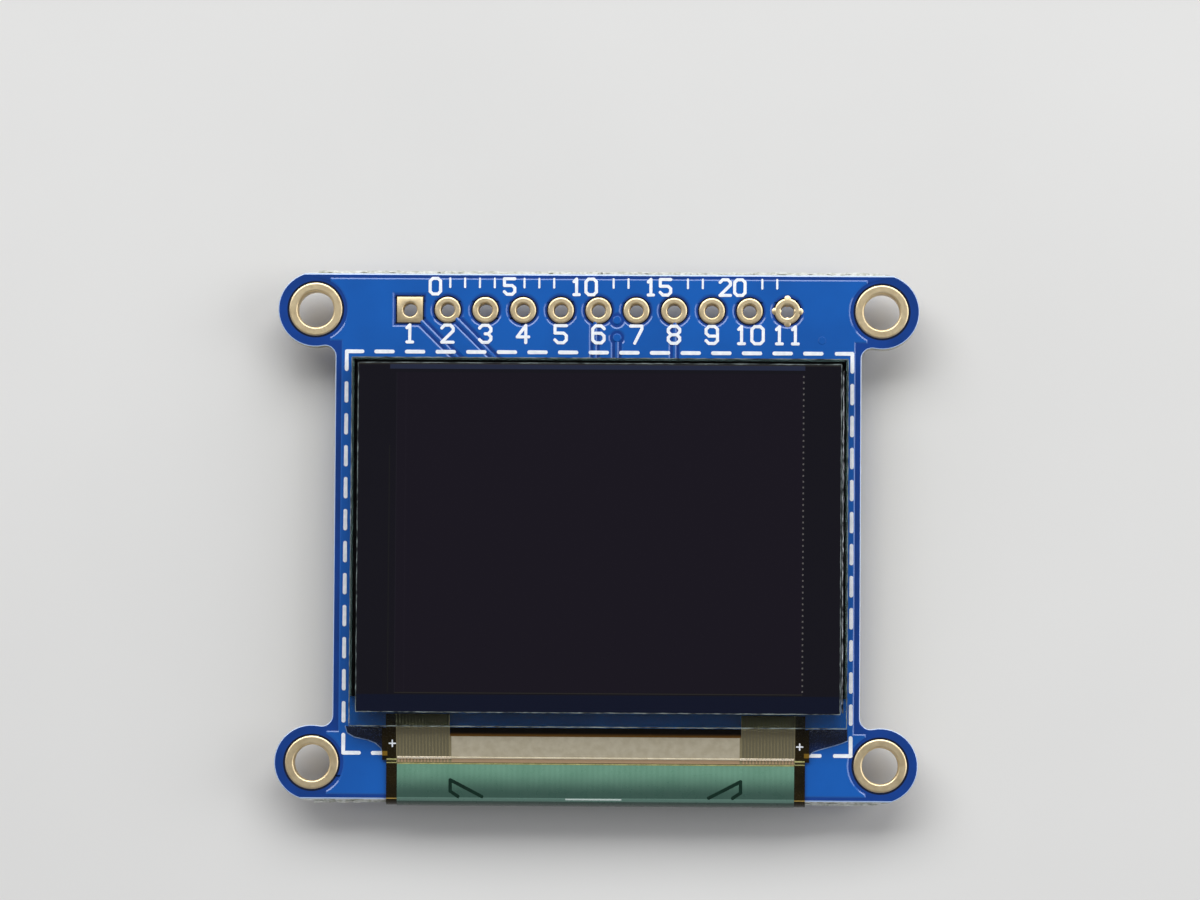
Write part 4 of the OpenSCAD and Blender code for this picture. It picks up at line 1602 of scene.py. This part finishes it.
    def build(self) -> None:
        """Dresses the board and builds its foil, marks and edges."""
        dress(self.nodes, ["pcb"], Finishes.BOARD, ease_mm=0.07)
        self._mounting_eyelets()
        self._header_eyelets()
        self._foil(Face.FRONT, self.front_artwork())
        self._foil(Face.REAR, self.rear_artwork())
        self._solder()
        self._front_marks()
        self._rear_marks()
        self._snapped_edges()

    def _mounting_eyelets(self) -> None:
        """Builds the plating of the four mounting holes."""
        node = "mounting_hole_plating"
        eyelets = Eyelets(node, bore=1.21, land=1.78, mouth=0.13, steps=72)
        for at in self.corners():
            eyelets.add(at)
        eyelets.finish()

    def _header_eyelets(self) -> None:
        """Builds the plating of the header holes: one square land, one with spokes."""
        node = "header_hole_plating"
        eyelets = Eyelets(node, bore=0.46, land=0.86, mouth=0.1, steps=48)
        eyelets.add_square((self.header_x(1), self.header_y))
        for number in range(2, self.holes + 1):
            eyelets.add((self.header_x(number), self.header_y))
        last = self.header_x(self.holes), self.header_y
        eyelets.add_spokes(last, reach=self.pad_keep, width=0.5)
        eyelets.finish()

    def _solder(self) -> None:
        """Builds every solder joint of the rear face as one piece."""
        bm = bmesh.new()
        for joint in self.joints:
            join(bm, joint.build())
        finish_piece(bm, "solder_joints", [Finishes.TIN], "tinned_metal", crease=60)

    def _snapped_edges(self) -> None:
        """Builds the ragged web of fibres along the two snapped edges."""
        bm = bmesh.new()
        for y in (-self.snap_y, self.snap_y):
            ragged_rail(
                bm, (-18.9, y), (18.9, y), width=0.2, heights=(0.48, 1.12), rough=0.08
            )
            ragged_rail(
                bm, (-18.7, y), (18.6, y), width=0.1, heights=(0.4, 1.2), rough=0.13,
                step=0.2,
            )
        finish_piece(bm, "snapped_edge_fibres", [Finishes.FIBRE], "board")

    def _front_marks(self) -> None:
        """Prints the panel's dashed outline, the scale and the hole numbers."""
        press = Press(Face.FRONT, self.ink, self.ink_w)
        press.dashed_outline(
            (-16.93, -14.58), (17.07, 12.4), across=Dashes(0.03, 2.06, 1.37, 7),
            up=Dashes(-1.09, 2.15, 1.44, 5), arms=(1.05, 1.2),
        )
        for number in range(1, self.holes + 1):
            press.number(number, (self.header_x(number), 13.05), height=1.15)
        press.scale((-11.0, 16.3), length=23, height=1.05)
        finish_piece(press.bm, "front_printed_marks", [Finishes.INK], "board")

    def _rear_marks(self) -> None:
        """Prints the hole numbers and the places of the parts."""
        press = Press(Face.REAR, self.ink, 0.15)
        for number in range(1, self.holes + 1):
            press.number(number, (self.header_x(number), 16.42), height=0.85)
        for node in self.nodes:
            low, high = (corner.xy for corner in box_mm(node))
            if node.startswith(("capacitor", "resistor")):
                press.side_lines(low, high, gap=0.3)
            elif node.endswith("_body"):
                lead_low, lead_high = box_mm(node.replace("_body", "_leads"))
                low = Vector(map(min, low, lead_low.xy))
                high = Vector(map(max, high, lead_high.xy))
                press.corners(low, high, gap=0.28, arm=0.55)
        low, high = box_mm("inductor_core")
        press.corners(low.xy, high.xy, gap=0.3, arm=0.9)
        low, high = box_mm("flex_socket_housing")
        press.corners(low.xy, high.xy, gap=0.35, arm=0.8)
        low, high = box_mm("card_socket_shell")
        left, bottom, top = low.x - 0.3, low.y - 0.3, high.y + 0.3
        press.line([(left, bottom), (left, 0.8)])
        press.line([(left, bottom), (high.x - 0.6, bottom)])
        press.line([(left, 10.8), (left, top)])
        # the dot beside the first lead of each chip, and the bar at the diode's cathode
        for x, y in ((-6.1, 11.25), (-7.75, -2.35), (-8.0, 4.75), (-10.4, 13.0)):
            press.line([(x, y), (x + 0.01, y)], width=0.4)
        press.line([(-11.85, 2.0), (-11.85, 3.8)], width=0.25)
        finish_piece(press.bm, "rear_printed_marks", [Finishes.INK], "board")


@dataclass
class Eyelets:
    """Plated holes: a barrel with rounded mouths and a sloping land on each face.

    Attributes:
        node: The CAD node that they stand for.
        bore: Radius inside the plating, in millimetres.
        land: Radius of a land.
        mouth: Radius of the rounding at a mouth.
        steps: Sides of the round shapes.
        plate: Thickness of the land above the laminate.
        slope: Width of the land's sloping rim.
        bm: The mesh that they are added to.
    """

    node: str
    bore: float
    land: float
    mouth: float
    steps: int
    plate: float = 0.04
    slope: float = 0.08
    bm: bmesh.types.BMesh = field(default_factory=bmesh.new)

    def add(self, centre: Point, land: float | None = None) -> None:
        """Spins one eyelet from its section.

        Args:
            centre: Its axis, in millimetres.
            land: Its land's radius, if not the usual one.
        """
        land = land or self.land
        slope = min(self.slope, (land - self.bore - self.mouth) / 2)
        mouth = [
            (self.bore + self.mouth * (1 - math.cos(turn)),
             self.plate - self.mouth * (1 - math.sin(turn)))
            for turn in (math.radians(22.5 * i) for i in range(5))
        ]
        flat = self.bore + self.mouth + 0.015, land - slope - 0.015
        half = mouth + [(r, self.plate) for r in flat if slope > 0.03]
        half += [(land - slope, self.plate), (land, 0.0), (self.bore + 0.04, 0.0)]
        section = [(r, Face.FRONT.height(rise)) for r, rise in half]
        section += [(r, Face.REAR.height(rise)) for r, rise in reversed(half)]
        verts = [self.bm.verts.new((centre[0] + r, centre[1], z)) for r, z in section]
        edges = [
            self.bm.edges.new((vert, verts[i - 1])) for i, vert in enumerate(verts)
        ]
        bmesh.ops.spin(
            self.bm, geom=verts + edges, cent=(*centre, 0), axis=(0, 0, 1),
            angle=math.tau, steps=self.steps, use_merge=True,
        )

    def add_square(self, centre: Point) -> None:
        """Adds an eyelet with a square land on each face.

        Args:
            centre: Its axis, in millimetres.
        """
        inner = self.bore + self.mouth
        self.add(centre, inner + 0.02)
        for face in Face:
            foot, head = face.height(0.0), face.height(self.plate - 0.001)
            plate, hole = bmesh.new(), bmesh.new()
            x, y, r = *centre, self.land
            flare(block(plate, (x - r, y - r, foot), (x + r, y + r, head)), head, -0.1)
            disc(hole, centre, inner, face.height(-0.1), face.height(0.1), self.steps)
            join(self.bm, carve(plate, hole))

    def add_spokes(self, centre: Point, reach: float, width: float) -> None:
        """Adds four spokes that join a land to the foil around it.

        Args:
            centre: The hole's axis, in millimetres.
            reach: Where the spokes end.
            width: Their width at the foot.
        """
        for face in Face:
            foot, head = face.height(-0.005), face.height(self.plate - 0.003)
            for way in range(4):
                turn = Matrix.Rotation(way * math.pi / 2, 2)
                ends = [
                    tuple(Vector(centre) + turn @ Vector((r, 0)))
                    for r in (self.land - 0.2, reach - width / 2)
                ]
                bar(self.bm, *ends, width, foot, head, 18, width - 0.14)

    def finish(self) -> None:
        """Turns the eyelets into a gold piece that stands for their node."""
        piece = finish_piece(
            self.bm, self.node.replace("plating", "eyelets"), [Finishes.GOLD],
            "hole_plating",
        )
        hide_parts(self.node)


@dataclass(frozen=True)
class Dashes:
    """A row of dashes with round ends.

    Attributes:
        middle: Centre of the middle dash, in millimetres.
        pitch: Distance between dashes.
        length: Length of a dash with its ends.
        count: Number of dashes on each side of the middle one.
    """

    middle: float
    pitch: float
    length: float
    count: int

    def spans(self, line_w: float) -> list[Point]:
        """Works out where the dashes' middle lines start and end.

        Args:
            line_w: Width of the line, whose round ends are part of a dash.

        Returns:
            The start and end of each dash.
        """
        reach = (self.length - line_w) / 2
        steps = range(-self.count, self.count + 1)
        centres = [self.middle + step * self.pitch for step in steps]
        return [(centre - reach, centre + reach) for centre in centres]


@dataclass
class Press:
    """Prints lines and plain numbers in white ink on one face.

    Attributes:
        face: The board's face.
        rise: Height of the ink above the laminate, in millimetres.
        line_w: Width of a line.
        digit_w: The most that a digit's line is wide.
        hair: Step in height between lines that are printed one after the other.
        levels: Number of such steps before they start again.
        heights: Z of the ink's foot and top, where it is not on the board.
        bm: The mesh that the ink is added to.
        drawn: Lines so far.
    """

    face: Face
    rise: float
    line_w: float
    digit_w: float = 0.21
    hair: float = 0.0003
    levels: int = 13
    heights: Point | None = None
    bm: bmesh.types.BMesh = field(default_factory=bmesh.new)
    drawn: int = 0

    DIGITS = {
        "0": [[(1, 0), (3, 0), (4, 1), (4, 5), (3, 6), (1, 6), (0, 5), (0, 1), (1, 0)]],
        "1": [[(1, 5), (2, 6), (2, 0)], [(1, 0), (3, 0)]],
        "2": [[(0, 5), (1, 6), (3, 6), (4, 5), (4, 4), (0, 0), (4, 0)]],
        "3": [[(0, 5), (1, 6), (3, 6), (4, 5), (4, 4), (3, 3), (4, 2), (4, 1), (3, 0),
               (1, 0), (0, 1)], [(2, 3), (3, 3)]],
        "4": [[(3, 0), (3, 6), (0, 2), (4, 2)]],
        "5": [[(4, 6), (0, 6), (0, 3.4), (3, 3.4), (4, 2.5), (4, 1), (3, 0), (1, 0),
               (0, 1)]],
        "6": [[(4, 5), (3, 6), (1, 6), (0, 5), (0, 1), (1, 0), (3, 0), (4, 1), (4, 2.4),
               (3, 3.4), (0, 3.4)]],
        "7": [[(0, 6), (4, 6), (4, 5), (1.5, 0)]],
        "8": [[(1, 3), (0, 4), (0, 5), (1, 6), (3, 6), (4, 5), (4, 4), (3, 3), (1, 3),
               (0, 2), (0, 1), (1, 0), (3, 0), (4, 1), (4, 2), (3, 3)]],
        "9": [[(0, 1), (1, 0), (3, 0), (4, 1), (4, 5), (3, 6), (1, 6), (0, 5), (0, 3.6),
               (1, 2.6), (4, 2.6)]],
    }

    def line(self, points: Sequence[Point], width: float | None = None) -> None:
        """Prints a line through some points.

        Args:
            points: Its ends and bends, in millimetres.
            width: Its width, if not the usual one.
        """
        for start, end in zip(points, points[1:]):
            self.drawn += 1
            step = self.hair * (self.drawn % self.levels)
            if self.heights:
                foot, top = self.heights[0], self.heights[1] + step
            else:
                foot, top = self.face.height(0.0), self.face.height(self.rise + step)
            bar(self.bm, start, end, width or self.line_w, foot, top)

    def number(self, value: int, foot: Point, height: float) -> None:
        """Prints a whole number, to be read from this face.

        Args:
            value: The number.
            foot: The point that it stands on, below its middle, in millimetres.
            height: Height of its digits.
        """
        unit, text = height / 6, str(value)
        width, space = 4 * unit, 1.6 * unit
        way = -1 if self.face is Face.REAR else 1
        left = (space - (width + space) * len(text)) / 2
        for i, digit in enumerate(text):
            start = left + i * (width + space)
            for stroke in self.DIGITS[digit]:
                points = [
                    (foot[0] + way * (start + x * unit), foot[1] + y * unit)
                    for x, y in stroke
                ]
                self.line(points, min(self.line_w, self.digit_w))

    def corners(self, low: Point, high: Point, gap: float, arm: float) -> None:
        """Prints four corner brackets round a part.

        Args:
            low: The part's lower left corner, in millimetres.
            high: Its upper right corner.
            gap: Distance between the part and the brackets.
            arm: Length of a bracket's arms.
        """
        for x, way_x in ((low[0] - gap, 1), (high[0] + gap, -1)):
            for y, way_y in ((low[1] - gap, 1), (high[1] + gap, -1)):
                self.line([(x + way_x * arm, y), (x, y), (x, y + way_y * arm)])

    def side_lines(self, low: Point, high: Point, gap: float) -> None:
        """Prints a line along each long side of a chip part.

        Args:
            low: The part's lower left corner, in millimetres.
            high: Its upper right corner.
            gap: Distance between the part and the lines.
        """
        short = 0.2
        if high[0] - low[0] > high[1] - low[1]:
            for y in (low[1] - gap, high[1] + gap):
                self.line([(low[0] + short, y), (high[0] - short, y)])
        else:
            for x in (low[0] - gap, high[0] + gap):
                self.line([(x, low[1] + short), (x, high[1] - short)])

    def scale(self, start: Point, length: int, height: float) -> None:
        """Prints a millimetre scale with a plain number at every fifth division.

        Where the numbers have two digits, only the two middle marks fit between them.

        Args:
            start: Foot of the scale's zero, in millimetres.
            length: The number of divisions.
            height: Height of the numbers.
        """
        for step in range(length + 1):
            x = start[0] + step
            if step % 5 == 0:
                self.number(step, (x, start[1]), height)
            elif step < 9 or step % 5 in (2, 3):
                foot, head = start[1] + height * 0.45, start[1] + height
                self.line([(x, foot), (x, head)], width=0.14)

    def dashed_outline(
        self, low: Point, high: Point, across: Dashes, up: Dashes, arms: Point
    ) -> None:
        """Prints a dashed rectangle with solid corners.

        Args:
            low: Its lower left corner, in millimetres.
            high: Its upper right corner.
            across: The dashes of its lower and upper side.
            up: The dashes of its left and right side.
            arms: Length of the corners' arms along X and Y.
        """
        for y in (low[1], high[1]):
            for start, end in across.spans(self.line_w):
                self.line([(start, y), (end, y)])
        for x, way_x in ((low[0], 1), (high[0], -1)):
            for start, end in up.spans(self.line_w):
                self.line([(x, start), (x, end)])
            for y, way_y in ((low[1], 1), (high[1], -1)):
                self.line([(x, y + way_y * arms[1]), (x, y), (x + way_x * arms[0], y)])


# ---------------------------------------------------------------- display and flex


@dataclass
class Display:
    """Glass display stack on its tape.

    Attributes:
        nodes: The frame's nodes by name.
        glue_back_y: Where the glue aprons end, just under the front glass.
        glue_z: Heights of the aprons' foot and top.
    """

    nodes: dict[str, bpy.types.Object]
    glue_back_y: float = -12.82
    glue_z: Point = (1.6, 1.665)

    def build(self) -> None:
        """Dresses the layers from the tape up to the polarizer."""
        dress(self.nodes, ["mounting_tape"], Finishes.FOAM)
        dress(self.nodes, ["encapsulation_glass", "display_glass"], Finishes.GLASS, 0.05)
        dress(self.nodes, ["desiccant_sheet"], Finishes.DESICCANT)
        dress(self.nodes, ["edge_seal"], Finishes.SEAL)
        dress(self.nodes, ["emitter_layer"], Finishes.EMITTER)
        dress(self.nodes, ["polarizer"], Finishes.POLARIZER, 0.02)
        self._ground_edges("glass_ground_edges", "display_glass", "front_glass", 0.06)
        self._ground_edges("polarizer_cut_edges", "polarizer", "polarizer_film", 0.05)
        self._lifted_edge()
        self._seal_squeeze()
        self._glue()

    def _ground_edges(self, name: str, node: str, slot: str, width: float) -> None:
        """Builds the thin chipped line round the upper rim of a layer, pale with painted
        glints.

        Args:
            name: The new piece's name.
            node: The layer's node.
            slot: The layer's material slot.
            width: Width of the line, in millimetres. Its chips reach half of it.
        """
        low, high = box_mm(node)
        inset = width / 2 - 0.005
        left, right = low.x + inset, high.x - inset
        bottom, top = low.y + inset, high.y - inset
        corners = [(left, bottom), (right, bottom), (right, top), (left, top)]
        bm = bmesh.new()
        for i, corner in enumerate(corners):
            heights = high.z - 0.03, high.z + 0.002
            ragged_rail(bm, corners[i - 1], corner, width, heights, rough=width / 2)
        finish_piece(bm, name, [Finishes.GROUND_EDGE], slot)

    def _lifted_edge(self) -> None:
        """Builds the pale line beside the polarizer's right edge, painted as the glints of
        light that catch that edge.
        """
        low, high = box_mm("polarizer")
        bm = bmesh.new()
        for x, width in ((high.x + 0.13, 0.09), (high.x + 0.15, 0.05)):
            ends = (x, low.y + 0.1), (x, high.y - 0.4 - width)
            ragged_rail(bm, *ends, width, (low.z - 0.01, low.z + 0.1), 0.05, 0.25)
        name, slot = "polarizer_edge_painted_glints", "polarizer_film"
        finish_piece(bm, name, [Finishes.CHIPPED_EDGE], slot)

    def _glue(self) -> None:
        """Builds the two glue aprons beside the flex, painted dark as the glass's shadow,
        each with a raised rim painted pale as a highlight.
        """
        back_y, (foot, top) = self.glue_back_y, self.glue_z
        left = [
            (-16.8, -12.8), (-16.68, -13.24), (-16.2, -13.52), (-15.35, -13.7),
            (-14.8, -13.9), (-14.4, -14.25), (-14.25, -14.7),
        ]
        right = [
            (16.85, -13.58), (16.43, -13.76), (15.57, -14.02), (14.95, -14.19),
            (14.52, -14.35), (14.25, -14.6),
        ]
        left_back, right_back = [(-14.25, back_y)], [(14.25, back_y), (16.85, back_y)]
        sheets, rims = bmesh.new(), bmesh.new()
        for rim, back in ((left, left_back), (right, right_back)):
            apron = sheets.faces.new([sheets.verts.new((*at, foot)) for at in rim + back])
            lifted = bmesh.ops.extrude_face_region(
                sheets, geom=[apron], use_keep_orig=True
            )
            upper = [v for v in lifted["geom"] if isinstance(v, bmesh.types.BMVert)]
            bmesh.ops.translate(sheets, vec=(0, 0, top - foot), verts=upper)
            for start, end in zip(rim, rim[1:]):
                bar(rims, start, end, 0.09, foot + 0.02, top + 0.025, 12, top_width=0.04)
        finish_piece(sheets, "panel_glue_aprons_painted_shade", [Finishes.GLUE], "seal_resin")
        finish_piece(rims, "panel_glue_rims_painted_highlight", [Finishes.GLUE_RIM], "seal_resin")

    def _seal_squeeze(self) -> None:
        """Builds the seal resin that is squeezed out to the rim of the glass."""
        low, high = box_mm("display_glass")
        seal_low, seal_high = box_mm("edge_seal")
        heights = seal_low.z + 0.002, seal_high.z - 0.002
        bm = bmesh.new()
        rim, overlap = 0.02, 0.1
        top_y = high.y - rim
        strips = (
            ((low.x + rim, seal_low.y), (seal_low.x + overlap, top_y)),
            ((seal_high.x - overlap, seal_low.y), (high.x - rim, top_y)),
            ((seal_low.x, seal_high.y - overlap), (seal_high.x, top_y)),
        )
        for corner, opposite in strips:
            block(bm, (*corner, heights[0]), (*opposite, heights[1]))
        finish_piece(bm, "seal_squeeze_out", [Finishes.SEAL], "seal_resin")


@dataclass
class Flex:
    """Flexible circuit that wraps the board's lower edge.

    Attributes:
        nodes: The frame's nodes by name.
        fold_y: Where it lands on the board, in millimetres.
        fold_z: Height of its upper face there.
        tongue_x: Distance of the dark tongues' inner edges from the middle.
        foil_x: Half the width of its foil.
        film_x: Half the width of its film.
        slope_y: Y of a point on its way down from the glass.
        slope_z: Height of the film's upper face at that point.
        slope: How much the film comes down for each millimetre along Y.
        thickness: Thickness of the pieces that lie in the film.
    """

    nodes: dict[str, bpy.types.Object]
    fold_y: float = -14.86
    fold_z: float = 1.888
    tongue_x: float = 9.66
    foil_x: float = 13.28
    film_x: float = 14.0
    slope_y: float = -13.44
    slope_z: float = 2.29
    slope: float = 0.286
    thickness: float = 0.05

    def build(self) -> None:
        """Dresses the film, its foil, cover film, driver chip and stiffener."""
        dress(self.nodes, ["flex_film"], Finishes.POLYIMIDE)
        dress(self.nodes, ["flex_copper"], Finishes.FLEX_COPPER)
        dress(self.nodes, ["flex_coverlay"], Finishes.COVERLAY)
        dress(self.nodes, ["driver_chip"], Finishes.SILICON, 0.02)
        dress(self.nodes, ["flex_stiffener"], Finishes.STIFFENER, 0.02)
        self._lip()
        self._folds()
        self._marks()

    @staticmethod
    def _sides(inner: float, outer: float) -> tuple[Point, Point]:
        """Returns the spans along X between two distances, left and right."""
        return (-outer, -inner), (inner, outer)

    def _lay_on_slope(self, verts: Iterable[bmesh.types.BMVert]) -> None:
        """Lifts vertices from Z = 0 to the film's upper face on its slope."""
        for vert in verts:
            vert.co.z += self.slope_z + (vert.co.y - self.slope_y) * self.slope

    def _folds(self) -> None:
        """Builds the bright fold where the flex lands, whose near-white finish is partly a
        painted highlight, and the squeezed-out adhesive.
        """
        y, z = self.fold_y, self.fold_z
        bm = bmesh.new()
        for x0, x1 in self._sides(self.tongue_x, self.foil_x):
            rod(bm, x0, x1, y, z - 0.01, radius=0.09)
        finish_piece(bm, "flex_bright_folds", [Finishes.FOLD], "flex_copper")
        bm = bmesh.new()
        rod(bm, -self.tongue_x, self.tongue_x, y, z - 0.025, radius=0.08)
        finish_piece(bm, "flex_plain_fold", [Finishes.FLEX_COPPER], "flex_copper")
        bm = bmesh.new()
        rod(bm, -self.foil_x - 0.02, self.foil_x + 0.02, -15.27, 1.84, radius=0.05)
        for x0, x1 in self._sides(self.foil_x + 0.04, self.film_x):
            rod(bm, x0, x1, y - 0.14, z - 0.06, radius=0.07)
            rod(bm, x0, x1, y - 0.36, z - 0.09, radius=0.05)
        finish_piece(bm, "coverlay_adhesive", [Finishes.ADHESIVE], "amber_film")

    def _marks(self) -> None:
        """Prints the crosses on the film's margins and the fold marks on the cover."""
        crosses = Press(Face.FRONT, 0.0, line_w=0.1, heights=(-0.01, 0.008))
        arm = 0.2
        for x, y in ((-13.61, -13.93), (13.66, -14.0)):
            crosses.line([(x - arm, y), (x + arm, y)])
            crosses.line([(x, y - arm), (x, y + arm)])
        self._lay_on_slope(crosses.bm.verts)
        finish_piece(crosses.bm, "flex_crosses", [Finishes.INK], "amber_film")
        folds = Press(Face.FRONT, 0.0, line_w=0.23, heights=(1.85, 1.878))
        stroke = [(9.2, -17.45), (9.72, -17.1), (9.72, -16.35), (7.6, -17.45)]
        for side in (-1, 1):
            folds.line([(side * x, y) for x, y in stroke])
        name, slot = "coverlay_fold_marks", "green_coverlay"
        finish_piece(folds.bm, name, [Finishes.LEGEND], slot, crease=5)

    def _lip(self) -> None:
        """Builds the film's lip between the tongues and its wider shoulders."""
        bm = bmesh.new()
        low, high = (-9.74, -13.46, -self.thickness), (9.74, -12.84, -0.002)
        self._lay_on_slope(block(bm, low, high))
        # the lip's near-black colour is painted shade from the glass above it
        finish_piece(bm, "flex_film_lip", [Finishes.BARE_FILM], "amber_film")
        bm = bmesh.new()
        for x0, x1 in self._sides(self.film_x, 14.3):
            low, high = (x0, -15.05, -self.thickness), (x1, -12.86, 0.0)
            self._lay_on_slope(block(bm, low, high))
        finish_piece(bm, "flex_film_shoulders", [Finishes.POLYIMIDE], "amber_film")


# --------------------------------------------------------------------------- studio


@dataclass(frozen=True)
class Softbox:
    """A large soft lamp that looks at the object.

    Attributes:
        name: The lamp's name.
        place: Its centre, in metres.
        size: Its width and height, in metres.
        level: The share of a plain exposure that it gives at the object.
    """

    name: str
    place: tuple[float, float, float]
    size: Point
    level: float

    def build(self) -> None:
        """Hangs the lamp, with the power that gives its level."""
        lamp = bpy.data.lights.new(self.name, "AREA")
        lamp.shape = "RECTANGLE"
        lamp.size, lamp.size_y = self.size
        place = Vector(self.place)
        lamp.energy = self.level * math.pi**2 * place.length_squared
        lamp.energy /= place.normalized().z
        item = bpy.data.objects.new(self.name, lamp)
        item.location = place
        item.rotation_euler = place.to_track_quat("Z", "Y").to_euler()
        bpy.context.scene.collection.objects.link(item)


@dataclass
class Studio:
    """Plain pale table, soft lamps, a dim sky and the camera.

    Attributes:
        table_z: Height of the table, in millimetres.
        table_reach: Half the table's width, in metres.
        lamps: The soft lamps.
        camera_mm: The camera's place.
        camera_right: The camera's own X axis.
        camera_back: The camera's own Z axis.
        lens: Focal length on a 36 mm sensor.
    """

    table_z: float
    table_reach: float = 6.0
    lamps: tuple[Softbox, ...] = (
        Softbox("north_softbox", (-0.05, 0.42, 0.45), (0.9, 0.35), 0.8),
        Softbox("east_softbox", (0.5, 0.08, 0.36), (0.35, 0.45), 0.18),
    )
    camera_mm: tuple[float, float, float] = (9.622, -15.506, 400.785)
    camera_right: tuple[float, float, float] = (0.9997, 0.0068, -0.02334)
    camera_back: tuple[float, float, float] = (0.02367, -0.05339, 0.99829)
    lens: float = 178.56

    def build(self) -> None:
        """Sets up the table, the lamps, the sky and the camera."""
        self._table()
        for lamp in self.lamps:
            lamp.build()
        self._sky()
        self._camera()

    def _table(self) -> None:
        """Lays the table under the part."""
        bm = bmesh.new()
        reach = self.table_reach
        bmesh.ops.create_grid(bm, x_segments=1, y_segments=1, size=reach)
        bmesh.ops.translate(bm, vec=(0, 0, self.table_z * MM), verts=bm.verts)
        mesh = bpy.data.meshes.new("table")
        bm.to_mesh(mesh)
        bm.free()
        mesh.materials.append(Finishes.TABLE.material())
        table = bpy.data.objects.new("table", mesh)
        bpy.context.scene.collection.objects.link(table)
        table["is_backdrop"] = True

    def _sky(self) -> None:
        """Makes a sky that is pale at the horizon and dim overhead."""
        world = bpy.data.worlds.new("studio")
        world.use_nodes = True
        tree = world.node_tree
        bpy.context.scene.world = world
        direction = add_node(tree, "ShaderNodeTexCoord", out="Generated")
        height = add_node(tree, "ShaderNodeSeparateXYZ", {0: direction}, out=2)
        stops = [
            (0.0, srgb("E4E4E2")),
            (0.12, srgb("DCDCDC")),
            (0.45, srgb("A8A8AC")),
            (0.85, srgb("6E6E72")),
        ]
        sky = add_node(tree, "ShaderNodeValToRGB", {"Fac": height}, stops=stops)
        tree.links.new(sky, tree.nodes["Background"].inputs["Color"])

    def _camera(self) -> None:
        """Places the camera nearly straight above the display."""
        right, back = Vector(self.camera_right), Vector(self.camera_back)
        back.normalize()
        up = back.cross(right).normalized()
        right = up.cross(back)
        camera = bpy.data.cameras.new("camera")
        camera.lens, camera.sensor_width = self.lens, 36.0
        camera.clip_start, camera.clip_end = 0.01, 50.0
        item = bpy.data.objects.new("camera", camera)
        turn = Matrix((right, up, back)).transposed().to_4x4()
        item.matrix_world = Matrix.Translation(Vector(self.camera_mm) * MM) @ turn
        bpy.context.scene.collection.objects.link(item)
        bpy.context.scene.camera = item


def main() -> None:
    """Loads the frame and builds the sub-assemblies in order."""
    logging.basicConfig(level=logging.INFO, format="%(name)s: %(message)s")
    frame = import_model()
    bpy.context.scene.view_settings.view_transform = "Standard"
    before = [list(corner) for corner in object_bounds()]
    nodes = frame["nodes"]
    electronics, card, socket = Electronics(nodes), CardSocket(nodes), FlexSocket(nodes)
    for assembly in (electronics, card, socket):
        assembly.build()
    Board(nodes, electronics.joints + card.joints + socket.joints).build()
    Display(nodes).build()
    Flex(nodes).build()
    Studio(table_z=before[0][2] / MM).build()


if __name__ == "__main__":
    main()
